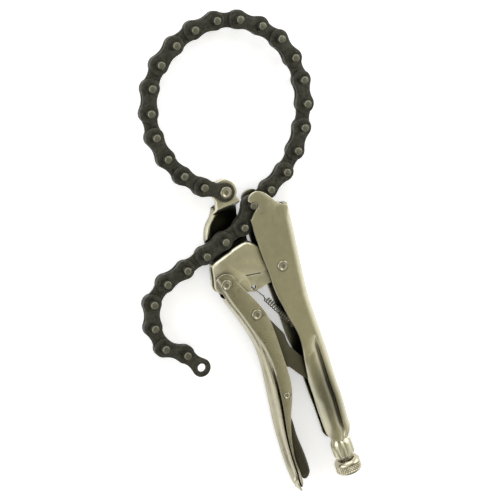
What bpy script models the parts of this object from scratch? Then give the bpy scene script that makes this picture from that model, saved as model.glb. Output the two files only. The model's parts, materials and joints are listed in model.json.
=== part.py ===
"""Locking chain wrench for round filters: pressed steel pliers with a plate chain.

The tool lies on its side. X and Y are the plane that the jaw, the lever and the chain move in, and
+Y runs along the adjusting screw towards the chain loop. +Z is the tool's thickness, and Z = 0 is
the surface that the tool lies on. All sizes are in metres. The pieces are drawn with X = Y = 0 on
the main rivet's axis and Z = 0 in the tool's middle plane. They are then placed so that the origin
is under the middle of the whole tool.
"""

import math

import bmesh
import bpy
from mathutils import Vector

# Middle of the whole tool as seen square on, measured from the main rivet
BOX_CENTRE = (-0.02026, 0.00696)

# Sheet and clearances
SHEET = 0.0022
RUNNING_GAP = 0.00025
SEAT_GAP = 0.0003
SIDE_GAP = 0.0006

# Plate chain
PITCH = 0.015875
PIN_RADIUS = 0.00254
PIN_HALF_LENGTH = 0.0079
INNER_PLATE = 0.0018
OUTER_PLATE = 0.0016
LINK_END_RADIUS = 0.00635
LINK_WAIST_HALF = 0.0048
EAR_CENTRE = (-0.0199, 0.0611)
EAR_RADIUS = 0.0083
NECK_CLEARANCE = 0.0004

# Direction of each link in degrees, from the ear round the loop to the hook, then the loose tail
LOOP_HEADINGS = (146, 130, 114, 99, 83, 67, 48, 30, 18, 2, -17, -35, -52, -71, -86, -101, -116, -127, -139, -155, -161)
TAIL_HEADINGS = (-133, -166, -166, -167, -169, -145, -108, -83, -40, -61)

# Fixed handle
HANDLE_HALF_WIDTH = 0.0074
HANDLE_BEND_RADIUS = 0.0056
NECK_RADIUS = 0.0074
NECK_LOBE = 0.0004
NECK_LOBES = 6
NECK_END = -0.1475
NECK_START = -0.1150
NECK_ROUND = -0.1290
NECK_CRIMPED = -0.1350
NECK_EDGE = 0.0006
SCREW_X = 0.0009
CHANNEL_END = -0.1165
MOUTH_HEIGHT = 0.0384

# Where the handle's cheeks are drawn in round the screw, and how far they fall towards the open edge
DRAW_START = -0.0490
DRAW_FULL = -0.0620
LINK_PASSAGE_END = -0.0960
LIPS_CLOSED = -0.1060
DRAWN_DROP = 0.0003
DRAWN_CREST_X = -0.0012
DRAWN_REACH = 0.0067
CREASE_MARGIN = 0.0022
CREASE_FALL = 0.0010

# Adjusting screw and knob
SCREW_RADIUS = 0.0042
SCREW_TIP_RADIUS = 0.0031
KNOB_RADIUS = 0.0093
KNOB_TOP = -0.1495
KNOB_LENGTH = 0.0108
KNOB_EDGE = 0.0012
TIP_CLEARANCE = 0.0013

# Linkage
LEVER_PIVOT = (-0.0412, 0.0036)
LINK_PIVOT = (-0.0279, -0.0239)
LINK_FOOT = (0.0006, -0.0864)
LINK_FOOT_RADIUS = 0.0042
LINK_HALF_WIDTH = 0.0032
RELEASE_PIVOT = (-0.0267, -0.0856)
JAW_BOSS_RADIUS = 0.0068
SADDLE_BEND_RADIUS = 0.0024
JOGGLE_CLEARANCE = 0.0009
JOGGLE_LENGTH = 0.0038
JOGGLE_SLOPE = 0.2
EAR_STEP_START = 0.0150
EAR_STEP_END = 0.0088
LINK_HEAD_RADIUS = 0.0058
LEVER_BOSS_RADIUS = 0.0075
FLARE_HALF_WIDTH = 0.0088
TIP_TAPER = 0.0030
TIP_TAPER_START = -0.1380
TIP_END = -0.1545
FLARE_START = -0.0350
FLARE_FULL = -0.0880
VALLEY_DEPTH = 0.0026
RELEASE_SHEET = 0.0016

# Rivets
RIVET_RADIUS = 0.0030
RIVET_HEAD_RADIUS = 0.0038
RIVET_HEAD_HEIGHT = 0.0011
SMALL_RIVET_RADIUS = 0.0016
SMALL_RIVET_HEAD_RADIUS = 0.0023
ANCHOR_HEAD_RADIUS = 0.0039

# Return spring
SPRING_HOLE = (-0.0231, -0.0061)
SPRING_HOLE_RADIUS = 0.0018
SPRING_WIRE_RADIUS = 0.00035
SPRING_COIL_RADIUS = 0.00145
SPRING_TURNS = 15
SPRING_START = (-0.0162, -0.0186)
SPRING_END = (-0.0056, -0.0396)
SPRING_PEG = (-0.0040, -0.0430)
SPRING_PEG_RADIUS = 0.0011

# Widths that follow from the sizes above, measured from the tool's middle plane
OUTER_LOW = INNER_PLATE / 2 + RUNNING_GAP
OUTER_HIGH = OUTER_LOW + OUTER_PLATE
ANCHOR_LOW = OUTER_HIGH + RUNNING_GAP
ANCHOR_HIGH = ANCHOR_LOW + OUTER_PLATE
EAR_HALF = ANCHOR_LOW - SEAT_GAP
HANDLE_INNER = HANDLE_HALF_WIDTH - SHEET
DRAWN_HALF = HANDLE_HALF_WIDTH - DRAWN_DROP
JAW_HALF = HANDLE_INNER - SIDE_GAP
JAW_INNER = JAW_HALF - SHEET
LEVER_INNER = JAW_HALF + SEAT_GAP
LEVER_HALF = LEVER_INNER + SHEET
NECK_FRONT = -(PIN_HALF_LENGTH + NECK_CLEARANCE)
NECK_BACK = NECK_FRONT - SHEET
MIDDLE_HEIGHT = -NECK_BACK
OPEN_LIP_HALF = LINK_HALF_WIDTH + SEAT_GAP + SHEET
CLOSED_LIP_HALF = OPEN_LIP_HALF - SHEET / 2
BEYOND = 2 * KNOB_RADIUS

STEEL_FINISHES = {
    "satin_nickel": ((0.36, 0.34, 0.27, 1), 1.0, 0.38),
    "black_oxide": ((0.020, 0.019, 0.014, 1), 0.7, 0.45),
    "bright_pin": ((0.32, 0.31, 0.26, 1), 1.0, 0.42),
    "spring_steel": ((0.16, 0.15, 0.12, 1), 1.0, 0.35),
}


def clear_scene():
    for old in list(bpy.data.objects):
        bpy.data.objects.remove(old, do_unlink=True)


def finish_material(name):
    material = bpy.data.materials.get(name)
    if material:
        return material
    colour, metallic, roughness = STEEL_FINISHES[name]
    material = bpy.data.materials.new(name)
    material.use_nodes = True
    shader = material.node_tree.nodes["Principled BSDF"]
    shader.inputs["Base Color"].default_value = colour
    shader.inputs["Metallic"].default_value = metallic
    shader.inputs["Roughness"].default_value = roughness
    return material


def place(name, bm, finish=None, pivot=(0.0, 0.0)):
    """Turns a bmesh drawn about the tool's middle plane into an object whose origin is its pivot."""
    bmesh.ops.recalc_face_normals(bm, faces=bm.faces)
    bmesh.ops.translate(bm, verts=bm.verts, vec=(-pivot[0], -pivot[1], 0.0))
    mesh = bpy.data.meshes.new(name)
    bm.to_mesh(mesh)
    bm.free()
    obj = bpy.data.objects.new(name, mesh)
    obj.location = (pivot[0] - BOX_CENTRE[0], pivot[1] - BOX_CENTRE[1], MIDDLE_HEIGHT)
    bpy.context.scene.collection.objects.link(obj)
    if finish:
        mesh.materials.append(finish_material(finish))
        mesh.shade_smooth()
        mesh.set_sharp_from_angle(angle=math.radians(35))
    else:
        obj.hide_render = True
        obj.display_type = "WIRE"
    return obj


def combine(obj, operation, other):
    modifier = obj.modifiers.new(f"{operation.lower()}_{other.name}", "BOOLEAN")
    modifier.operation = operation
    modifier.solver = "EXACT"
    modifier.object = other


def arc(centre, radius, start, end, steps):
    """Points on an arc from start to end, in degrees; no steps give one point."""
    points = []
    for i in range(steps + 1):
        angle = math.radians(start + (end - start) * i / max(steps, 1))
        points.append((centre[0] + radius * math.cos(angle), centre[1] + radius * math.sin(angle)))
    return points


def circle(centre, radius, sides):
    return arc(centre, radius, 0, 360 * (sides - 1) / sides, sides - 1)


def hole(centre, radius, sides=12):
    """A polygon whose flats clear a round shank of this radius by the running gap."""
    return circle(centre, (radius + RUNNING_GAP) / math.cos(math.pi / sides), sides)


def smooth(value, low, high):
    t = min(max((value - low) / (high - low), 0.0), 1.0)
    return t * t * (3 - 2 * t)


def along(table, value):
    """Straight-line reading of a table of (place, size) pairs in rising order of place."""
    if value <= table[0][0]:
        return table[0][1]
    for (low, a), (high, b) in zip(table, table[1:]):
        if value <= high:
            return a + (b - a) * (value - low) / (high - low)
    return table[-1][1]


def prism_mesh(rings, low, high):
    """A flat plate: the first ring is its outline and the others are holes."""
    bm = bmesh.new()
    bottom = []
    for ring in rings:
        bottom.append([bm.verts.new((x, y, low)) for x, y in ring])
    edges = []
    for verts in bottom:
        edges += [bm.edges.new((a, b)) for a, b in zip(verts, verts[1:] + verts[:1])]
    filled = bmesh.ops.triangle_fill(bm, edges=edges, use_beauty=True, use_dissolve=False)
    faces = [item for item in filled["geom"] if isinstance(item, bmesh.types.BMFace)]
    top = {v: bm.verts.new((v.co.x, v.co.y, high)) for verts in bottom for v in verts}
    for face in faces:
        bm.faces.new([top[v] for v in face.verts])
    for verts in bottom:
        for a, b in zip(verts, verts[1:] + verts[:1]):
            bm.faces.new((a, b, top[b], top[a]))
    return bm


def loft_mesh(sections):
    """Joins rings of equally many points, and caps both ends."""
    bm = bmesh.new()
    rings = [[bm.verts.new(point) for point in section] for section in sections]
    for lower, upper in zip(rings, rings[1:]):
        for i in range(len(lower)):
            j = (i + 1) % len(lower)
            bm.faces.new((lower[i], lower[j], upper[j], upper[i]))
    bm.faces.new(rings[0])
    bm.faces.new(rings[-1])
    return bm


def split_twisted(bm):
    """The drawn handle's twisted quads as triangles, which a Boolean cuts cleanly."""
    twisted = [face for face in bm.faces if face.calc_center_median().y < DRAW_START]
    bmesh.ops.triangulate(bm, faces=[face for face in twisted if len(face.verts) == 4])
    return bm


def turned_mesh(profile, sides, centre, axis="Z"):
    """A turned solid from (distance along the axis, radius) pairs; a radius of 0 makes a point."""
    bm = bmesh.new()
    rings = []
    for distance, radius in profile:
        ring = []
        for i in range(sides if radius > 0 else 1):
            angle = 2 * math.pi * i / sides
            u, v = radius * math.cos(angle), radius * math.sin(angle)
            if axis == "Z":
                ring.append(bm.verts.new((centre[0] + u, centre[1] + v, distance)))
            else:
                ring.append(bm.verts.new((centre[0] + u, distance, centre[1] + v)))
        rings.append(ring)
    for lower, upper in zip(rings, rings[1:]):
        for i in range(sides):
            j = (i + 1) % sides
            corners = [lower[i % len(lower)], lower[j % len(lower)], upper[j % len(upper)], upper[i % len(upper)]]
            bm.faces.new(list(dict.fromkeys(corners)))
    return bm


def chain_points():
    """Centres of the pins 0 to 31: pin 0 is the rivet in the ear, and 31 is the last link's empty hole."""
    points = [Vector(EAR_CENTRE)]
    for heading in LOOP_HEADINGS + TAIL_HEADINGS:
        angle = math.radians(heading)
        points.append(points[-1] + PITCH * Vector((math.cos(angle), math.sin(angle))))
    return points


PINS = chain_points()
HOOK_PIN = len(LOOP_HEADINGS)
PIN_SIDES = 10


def link_outline(start, end):
    """The waisted outline of a link plate between two pins."""
    heading = math.degrees(math.atan2(end.y - start.y, end.x - start.x))
    across = Vector((math.cos(math.radians(heading + 90)), math.sin(math.radians(heading + 90))))
    middle = (start + end) / 2
    outline = arc(end, LINK_END_RADIUS, heading - 118, heading + 118, 7)
    outline.append(tuple(middle + across * LINK_WAIST_HALF))
    outline += arc(start, LINK_END_RADIUS, heading + 62, heading + 298, 7)
    outline.append(tuple(middle - across * LINK_WAIST_HALF))
    return outline


def inner_link(index):
    """A single plate with two holes that turns on the pins of its neighbours."""
    start, end = PINS[index], PINS[index + 1]
    rings = [link_outline(start, end)]
    rings += [hole(point, PIN_RADIUS, PIN_SIDES) for point in (start, end)]
    bm = prism_mesh(rings, -INNER_PLATE / 2, INNER_PLATE / 2)
    return place(f"link_{index:02d}_inner", bm, "black_oxide", start)


def outer_link(index):
    """Two plates riveted to two long pins, as one body."""
    start, end = PINS[index], PINS[index + 1]
    rings = [link_outline(start, end)]
    rings += [circle(point, PIN_RADIUS, PIN_SIDES) for point in (start, end)]
    bm = bmesh.new()
    levels = (-OUTER_HIGH, -OUTER_LOW, OUTER_LOW, OUTER_HIGH)
    bottom = [[bm.verts.new((x, y, levels[0])) for x, y in ring] for ring in rings]
    edges = []
    for verts in bottom:
        edges += [bm.edges.new((a, b)) for a, b in zip(verts, verts[1:] + verts[:1])]
    filled = bmesh.ops.triangle_fill(bm, edges=edges, use_beauty=True, use_dissolve=False)
    faces = [item for item in filled["geom"] if isinstance(item, bmesh.types.BMFace)]
    stack = [{v: v for verts in bottom for v in verts}]
    for level in levels[1:]:
        stack.append({v: bm.verts.new((v.co.x, v.co.y, level)) for v in stack[0]})
        for face in faces:
            bm.faces.new([stack[-1][v] for v in face.verts])

    def wall(verts, lower, upper):
        for a, b in zip(verts, verts[1:] + verts[:1]):
            bm.faces.new((lower[a], lower[b], upper[b], upper[a]))

    wall(bottom[0], stack[0], stack[1])
    wall(bottom[0], stack[2], stack[3])
    for pin in bottom[1:]:
        wall(pin, stack[1], stack[2])
        for level, side in ((stack[0], -1), (stack[3], 1)):
            tip = {v: bm.verts.new((v.co.x, v.co.y, side * PIN_HALF_LENGTH)) for v in pin}
            wall(pin, level, tip)
            bm.faces.new([tip[v] for v in pin])
    return place(f"link_{index:02d}_outer", bm, "black_oxide", start)


def anchor_plate(name, side):
    """One of the two plates that straddle the ear and carry the chain's first pin."""
    start, end = PINS[0], PINS[1]
    rings = [link_outline(start, end)]
    rings += [hole(point, PIN_RADIUS, PIN_SIDES) for point in (start, end)]
    bm = prism_mesh(rings, *sorted((side * ANCHOR_LOW, side * ANCHOR_HIGH)))
    return place(name, bm, "black_oxide", start)


def make_chain():
    anchor_plate("anchor_plate_near", 1)
    anchor_plate("anchor_plate_far", -1)
    rivet("chain_anchor_rivet", EAR_CENTRE, PIN_RADIUS, ANCHOR_HEAD_RADIUS, ANCHOR_HIGH)
    for index in range(1, len(PINS) - 1):
        if index % 2:
            outer_link(index)
        else:
            inner_link(index)


def rivet(name, centre, radius, head_radius, half_grip, sides=12):
    """A shank with a low dished head on both sides."""
    seat = half_grip + SEAT_GAP / 2
    top = seat + RIVET_HEAD_HEIGHT
    half = [
        (top - RIVET_HEAD_HEIGHT / 2, 0.0),
        (top, head_radius * 0.65),
        (top - RIVET_HEAD_HEIGHT * 0.4, head_radius),
        (seat, head_radius),
        (seat, radius),
    ]
    profile = half + [(-distance, size) for distance, size in reversed(half)]
    return place(name, turned_mesh(profile, sides, centre), "satin_nickel", centre)


def make_rivets():
    rivet("main_rivet", (0.0, 0.0), RIVET_RADIUS, RIVET_HEAD_RADIUS, HANDLE_HALF_WIDTH)
    rivet("lever_rivet", LEVER_PIVOT, RIVET_RADIUS, RIVET_HEAD_RADIUS, LEVER_HALF)
    rivet("link_rivet", LINK_PIVOT, RIVET_RADIUS, RIVET_HEAD_RADIUS, LEVER_HALF)
    rivet("release_rivet", RELEASE_PIVOT, SMALL_RIVET_RADIUS, SMALL_RIVET_HEAD_RADIUS, LEVER_HALF)


# Outer face of the handle's back, as (y, x) pairs in rising order of y
HANDLE_BACK = (
    (-0.1330, 0.0085), (-0.1290, 0.0104), (-0.1210, 0.0106), (-0.0670, 0.0120), (-0.0402, 0.0116),
    (-0.0247, 0.0119), (-0.0001, 0.0145), (0.0193, 0.0166), (0.0322, 0.0180), (0.0400, 0.0187),
)
HANDLE_SECTION_Y = (
    -0.1340, -0.1285, -0.1210, -0.1060, -0.0960, -0.0620, -0.0555, -0.0490, -0.0247, -0.0001, 0.0193, 0.0400, 0.0600,
)

# The handle seen square on: the hook's nose, the open front edge, the slanting lower end and the top
HOOK_NOSE = ((0.0048, 0.0508), (0.0022, 0.0532), (-0.0004, 0.0543), (-0.0036, 0.0543), (-0.0062, 0.0531))
HANDLE_FRONT = (
    (-0.0107, 0.0374), (-0.0111, 0.0147), (-0.0104, -0.0022), (-0.0100, -0.0151), (-0.0093, -0.0335),
    (-0.0093, -0.0494), (-0.0086, -0.0611), (-0.0080, -0.0720), (-0.0078, -0.0830), (-0.0078, -0.1185),
)
HANDLE_LOWER_END = ((-0.0065, -0.1212), (0.0035, -0.1290), (0.0080, -0.1325), (0.0120, -0.1328))
HANDLE_TOP = ((0.0161, 0.0378), (0.0120, 0.0403), (0.0086, 0.0452))

# The shallow curve in the near cheek's front edge, where it is drawn in above the closed part
CHEEK_RELIEF = (
    (-0.0140, -0.0250), (-0.0086, -0.0254), (-0.0073, -0.0353), (-0.0052, -0.0440), (-0.0045, -0.0515),
    (-0.0053, -0.0612), (-0.0062, -0.0671), (-0.0077, -0.0796), (-0.0140, -0.0820),
)


def cheek_points(y, left, bend_start):
    """The cheek's outer face across the handle: flat above, round and creased where it is drawn in."""
    drawn = smooth(-y, -DRAW_START, -DRAW_FULL)
    closed = smooth(-y, -LINK_PASSAGE_END, -LIPS_CLOSED)
    lip = OPEN_LIP_HALF + (CLOSED_LIP_HALF - OPEN_LIP_HALF) * closed
    points = []
    for share in (1.0, 0.5, 0.0):
        points.append((DRAWN_CREST_X - DRAWN_REACH * share, DRAWN_HALF + (lip - DRAWN_HALF) * share * share))
    points.append((bend_start - CREASE_MARGIN, DRAWN_HALF - CREASE_FALL))
    points.insert(0, (left, lip))
    points.append((bend_start, HANDLE_HALF_WIDTH))
    return [(x, HANDLE_HALF_WIDTH + (z - HANDLE_HALF_WIDTH) * drawn) for x, z in points]


def handle_section(y, left, wall):
    """A section with a rounded back; wall is how far it lies inside the outer faces."""
    back = along(HANDLE_BACK, y)
    bend_start = back - HANDLE_BEND_RADIUS
    cheek = [(x, z - wall) for x, z in cheek_points(y, left, bend_start)]
    quarter = arc((bend_start, HANDLE_HALF_WIDTH - HANDLE_BEND_RADIUS), HANDLE_BEND_RADIUS - wall, 90, 0, 3)
    near = cheek[:-1] + quarter
    return [Vector((x, y, z)) for x, z in near + [(x, -z) for x, z in reversed(near)]]


def handle_silhouette():
    """The handle's outline seen square on, with the notch that the chain's pin drops into."""
    pin = PINS[HOOK_PIN]
    notch = PIN_RADIUS + SEAT_GAP
    hook = [
        *HOOK_NOSE, (pin.x - notch * 0.92, pin.y + notch * 1.5), (pin.x - notch * 0.80, pin.y + notch * 1.02),
    ]
    seat = arc(pin, notch, 100, -45, 8)
    back = [(BEYOND, HANDLE_LOWER_END[-1][1]), (BEYOND, HANDLE_TOP[0][1])]
    return [*hook, *seat, *HANDLE_FRONT, *HANDLE_LOWER_END, *back, *HANDLE_TOP]


def neck_section(y, size, lobe, sides=24):
    """A ring about the screw's axis with shallow lobes from crimping."""
    points = []
    for i in range(sides):
        angle = 2 * math.pi * i / sides
        radius = size + lobe * math.cos(NECK_LOBES * angle)
        points.append(Vector((SCREW_X + radius * math.cos(angle), y, radius * math.sin(angle) * 0.92)))
    return points


def make_fixed_handle():
    outer = [handle_section(y, -BEYOND, 0.0) for y in HANDLE_SECTION_Y]
    handle = place("fixed_handle", split_twisted(loft_mesh(outer)), "satin_nickel")
    inner_y = [CHANNEL_END, *[y for y in HANDLE_SECTION_Y if y > CHANNEL_END], HANDLE_SECTION_Y[-1] + SHEET]
    inner = [handle_section(y, -2 * BEYOND, SHEET) for y in inner_y]
    combine(handle, "DIFFERENCE", place("cut_channel", split_twisted(loft_mesh(inner))))
    mouth = [(-BEYOND, MOUTH_HEIGHT), (BEYOND, MOUTH_HEIGHT), (BEYOND, 2 * MOUTH_HEIGHT), (-BEYOND, 2 * MOUTH_HEIGHT)]
    combine(handle, "DIFFERENCE", place("cut_mouth", prism_mesh([mouth], -HANDLE_INNER, HANDLE_INNER)))
    combine(handle, "INTERSECT", place("cut_silhouette", prism_mesh([handle_silhouette()], -BEYOND, BEYOND)))
    combine(handle, "DIFFERENCE", place("cut_relief", prism_mesh([CHEEK_RELIEF], 0.0, BEYOND)))
    neck = [
        neck_section(NECK_START, NECK_RADIUS - NECK_LOBE, 0.0), neck_section(NECK_ROUND, NECK_RADIUS, 0.0),
        neck_section(NECK_CRIMPED, NECK_RADIUS, NECK_LOBE), neck_section(NECK_END + NECK_EDGE, NECK_RADIUS, NECK_LOBE),
        neck_section(NECK_END, NECK_RADIUS - NECK_EDGE, NECK_LOBE / 2),
    ]
    combine(handle, "UNION", place("join_neck", loft_mesh(neck)))
    sides = 16
    bore_radius = (SCREW_RADIUS + RUNNING_GAP) / math.cos(math.pi / sides)
    bore_top = CHANNEL_END + BEYOND
    bore_bottom = NECK_END - BEYOND
    bore = [(bore_top, 0.0), (bore_top, bore_radius), (bore_bottom, bore_radius), (bore_bottom, 0.0)]
    combine(handle, "DIFFERENCE", place("cut_bore", turned_mesh(bore, sides, (SCREW_X, 0), "Y")))
    peg_low = -HANDLE_INNER - SHEET / 2
    peg = prism_mesh([circle(SPRING_PEG, SPRING_PEG_RADIUS, 8)], peg_low, SPRING_COIL_RADIUS)
    combine(handle, "UNION", place("join_peg", peg))
    rivet_hole = prism_mesh([hole((0.0, 0.0), RIVET_RADIUS)], -BEYOND, BEYOND)
    combine(handle, "DIFFERENCE", place("cut_rivet", rivet_hole))


def make_screw():
    tip = LINK_FOOT[1] - LINK_FOOT_RADIUS - TIP_CLEARANCE
    knob_bottom = KNOB_TOP - KNOB_LENGTH
    socket = KNOB_TOP - KNOB_LENGTH * 0.6
    shank = [
        (tip, 0.0), (tip, SCREW_TIP_RADIUS), (tip - 0.0010, SCREW_RADIUS),
        (socket + SEAT_GAP, SCREW_RADIUS), (socket + SEAT_GAP, 0.0),
    ]
    place("adjusting_screw", turned_mesh(shank, 16, (SCREW_X, 0), "Y"), "bright_pin", (SCREW_X, tip))
    bore_radius = SCREW_RADIUS + SEAT_GAP
    knob = [
        (socket, 0.0), (socket, bore_radius), (KNOB_TOP, bore_radius), (KNOB_TOP, KNOB_RADIUS - KNOB_EDGE),
        (KNOB_TOP - KNOB_EDGE, KNOB_RADIUS), (knob_bottom + KNOB_EDGE, KNOB_RADIUS),
        (knob_bottom, KNOB_RADIUS - KNOB_EDGE), (knob_bottom, 0.0),
    ]
    place("knurled_knob", turned_mesh(knob, 24, (SCREW_X, 0), "Y"), "satin_nickel", (SCREW_X, KNOB_TOP))


# The saddle's edge below the chain's tail, from left to right: which pin after the hook, the clearance
# to that pin's round link end, and the direction from the pin in degrees
SADDLE_REST = ((3, 0.0010, -74.5), (2, 0.0028, -110), (2, 0.00126, -58.7), (1, 0.00277, -101), (1, 0.00464, -81))
SADDLE_SHOULDER = (-0.0006, -0.0054)
JAW_RIGHT = (-0.0105, 0.0150)
JAW_PIVOT_RADIUS = 0.0080
JAW_TAB = ((-0.0129, -0.0079), (-0.0199, -0.0090), (-0.0231, -0.0094), (-0.0265, -0.0080))
JAW_SLIT = ((-0.0256, 0.0029), (-0.0155, 0.0007), (-0.0155, 0.0015), (-0.0256, 0.0037))
NECK_RIGHT = ((-0.0145, 0.0225), (-0.0140, 0.0320), (-0.0143, 0.0400), (-0.0120, 0.0480))
NECK_LEFT = (
    (-0.0292, 0.0508), (-0.0323, 0.0461), (-0.0364, 0.0430), (-0.0388, 0.0390), (-0.0408, 0.0335),
)
NECK_FOOT = ((-0.0412, 0.0290), (-0.0425, 0.0215))


def jaw_top():
    """The saddle's edge, which the chain's tail lies on, from left to right."""
    points = []
    for pin, clearance, direction in SADDLE_REST:
        centre = PINS[HOOK_PIN + pin]
        points += arc(centre, LINK_END_RADIUS + clearance, direction, direction, 0)
    return points


def jaw_below():
    """The rest of the jaw's outline clockwise, from the saddle's right end round to its left end."""
    pivot = arc((0.0, 0.0), JAW_PIVOT_RADIUS, 100, -95, 8)
    boss = arc(LEVER_PIVOT, JAW_BOSS_RADIUS, -70, -210, 6)
    x, y = jaw_top()[0]
    return [JAW_RIGHT, *pivot, *JAW_TAB, *boss, (x + SADDLE_SHOULDER[0], y + SADDLE_SHOULDER[1])]


def make_jaw_front_shell():
    """The near cheek with the rounded saddle folded back over the top."""
    bend_start = JAW_HALF - SADDLE_BEND_RADIUS
    levels = [(-JAW_INNER + SEAT_GAP, 0.0)]
    for i in range(4):
        angle = math.radians(90 * i / 3)
        levels.append((bend_start + SADDLE_BEND_RADIUS * math.sin(angle), SADDLE_BEND_RADIUS * (1 - math.cos(angle))))
    sections = []
    for height, inset in levels:
        flat = [(x, y - inset) for x, y in jaw_top()] + jaw_below()
        sections.append([(x, y, height) for x, y in flat])
    shell = place("jaw_front_shell", loft_mesh(sections), "satin_nickel")
    hollow = [(x, y - SHEET) for x, y in jaw_top()]
    left = LEVER_PIVOT[0] - BEYOND
    hollow[0] = (left, hollow[0][1] - SHEET)
    hollow[-1] = (hollow[-1][0] + SHEET / 2, hollow[-1][1])
    hollow += [(BEYOND, JAW_PIVOT_RADIUS + SHEET), (BEYOND, -BEYOND), (left, -BEYOND)]
    combine(shell, "DIFFERENCE", place("cut_hollow", prism_mesh([hollow], -BEYOND, JAW_INNER)))
    combine(shell, "DIFFERENCE", place("cut_slit", prism_mesh([JAW_SLIT], 0.0, BEYOND)))
    spring_hole = circle(SPRING_HOLE, SPRING_HOLE_RADIUS, 12)
    combine(shell, "DIFFERENCE", place("cut_spring_hole", prism_mesh([spring_hole], 0.0, BEYOND)))
    for name, centre in (("cut_front_pivot", (0.0, 0.0)), ("cut_front_lever", LEVER_PIVOT)):
        combine(shell, "DIFFERENCE", place(name, prism_mesh([hole(centre, RIVET_RADIUS)], -BEYOND, BEYOND)))


def joggle_places():
    """Where the back plate's two joggles start and end: below the chain's tail, and below the ear."""
    tail_pin = PINS[HOOK_PIN + 2]
    first = tail_pin.y - LINK_END_RADIUS - JOGGLE_CLEARANCE
    return tail_pin.x, first, first + JOGGLE_LENGTH, EAR_CENTRE[1] - EAR_STEP_START, EAR_CENTRE[1] - EAR_STEP_END


def back_plate_levels(x, y):
    """Lower and upper face of the pressed back plate: cheek, joggle, neck, joggle, ear."""
    tail_x, drop_start, drop_end, rise_start, rise_end = joggle_places()
    drop = smooth(y - JOGGLE_SLOPE * (x - tail_x), drop_start, drop_end)
    rise = smooth(y, rise_start, rise_end)
    low = -JAW_HALF + (NECK_BACK + JAW_HALF) * drop
    high = -JAW_INNER + (NECK_FRONT + JAW_INNER) * drop
    return low + (-EAR_HALF - NECK_BACK) * rise, high + (EAR_HALF - NECK_FRONT) * rise


def make_jaw_back_plate():
    """The far cheek, drawn up into the neck behind the chain and the ear that anchors it."""
    round_ear = arc(EAR_CENTRE, EAR_RADIUS, -30, 205, 10)
    outline = [*NECK_RIGHT, *round_ear, *NECK_LEFT, *NECK_FOOT, *reversed(jaw_below())]
    holes = [
        hole((0.0, 0.0), RIVET_RADIUS), hole(LEVER_PIVOT, RIVET_RADIUS), hole(EAR_CENTRE, PIN_RADIUS),
    ]
    bm = prism_mesh([outline, *holes], 0.0, SHEET)
    tail_x, drop_start, drop_end, rise_start, rise_end = joggle_places()
    steps = 4
    cuts = []
    for i in range(steps + 1):
        cuts.append(((tail_x, drop_start + (drop_end - drop_start) * i / steps, 0), (-JOGGLE_SLOPE, 1.0, 0.0)))
        cuts.append(((0, rise_start + (rise_end - rise_start) * i / steps, 0), (0.0, 1.0, 0.0)))
    for point, normal in cuts:
        everything = bm.verts[:] + bm.edges[:] + bm.faces[:]
        bmesh.ops.bisect_plane(bm, geom=everything, plane_co=point, plane_no=normal, dist=1e-7)
    for vert in bm.verts:
        low, high = back_plate_levels(vert.co.x, vert.co.y)
        vert.co.z = high if vert.co.z > SHEET / 2 else low
    plate = place("jaw_back_plate", bm, "satin_nickel")
    inner_edge = [(x + SHEET, y) for x, y in reversed(NECK_LEFT)]
    flange = prism_mesh([[*NECK_LEFT, *inner_edge]], NECK_BACK + SHEET / 2, -OUTER_HIGH - SEAT_GAP * 2)
    combine(plate, "UNION", place("join_flange", flange))


# Back edge of the lever, as (y, x) pairs in rising order of y
LEVER_BACK = (
    (-0.1540, -0.0395), (-0.1500, -0.0401), (-0.1419, -0.0400), (-0.1267, -0.0397), (-0.1078, -0.0386),
    (-0.0912, -0.0366), (-0.0743, -0.0346), (-0.0636, -0.0336), (-0.0537, -0.0334), (-0.0429, -0.0345),
    (-0.0249, -0.0389), (-0.0087, -0.0439), (0.0043, -0.0466), (0.0120, -0.0490),
)
LEVER_SECTION_Y = (
    -0.1545, -0.1500, -0.1267, -0.1078, -0.0912, -0.0743, -0.0636, -0.0537, -0.0429, -0.0249, -0.0087, 0.0043, 0.0120,
)


def lever_blend(y):
    """0 near the pivots, where the back is plainly rounded, and 1 where it is flared and grooved."""
    return smooth(-y, -FLARE_START, -FLARE_FULL)


def lever_section(y):
    """The outside of the lever, from the near front edge round its back."""
    flare = lever_blend(y)
    back = along(LEVER_BACK, y)
    wide = LEVER_HALF + (FLARE_HALF_WIDTH - LEVER_HALF) * flare - TIP_TAPER * smooth(-y, -TIP_TAPER_START, -TIP_END)
    plain = ((0.0350, LEVER_HALF), (0.0080, LEVER_HALF), (0.0050, LEVER_HALF - 0.0001), (0.0024, LEVER_HALF - 0.0009),
             (0.0007, LEVER_HALF - 0.0026), (0.0, LEVER_HALF - 0.0048))
    flared = ((0.0350, LEVER_HALF), (0.0070, LEVER_HALF), (0.0048, LEVER_HALF + (wide - LEVER_HALF) * 0.6),
              (0.0026, wide), (0.0008, wide - 0.0004), (0.0, wide - 0.0016))
    half = []
    for (x0, z0), (x1, z1) in zip(plain, flared):
        half.append((back + x0 + (x1 - x0) * flare, z0 + (z1 - z0) * flare))
    return [Vector((x, y, z)) for x, z in half + [(x, -z) for x, z in reversed(half)]]


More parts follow.
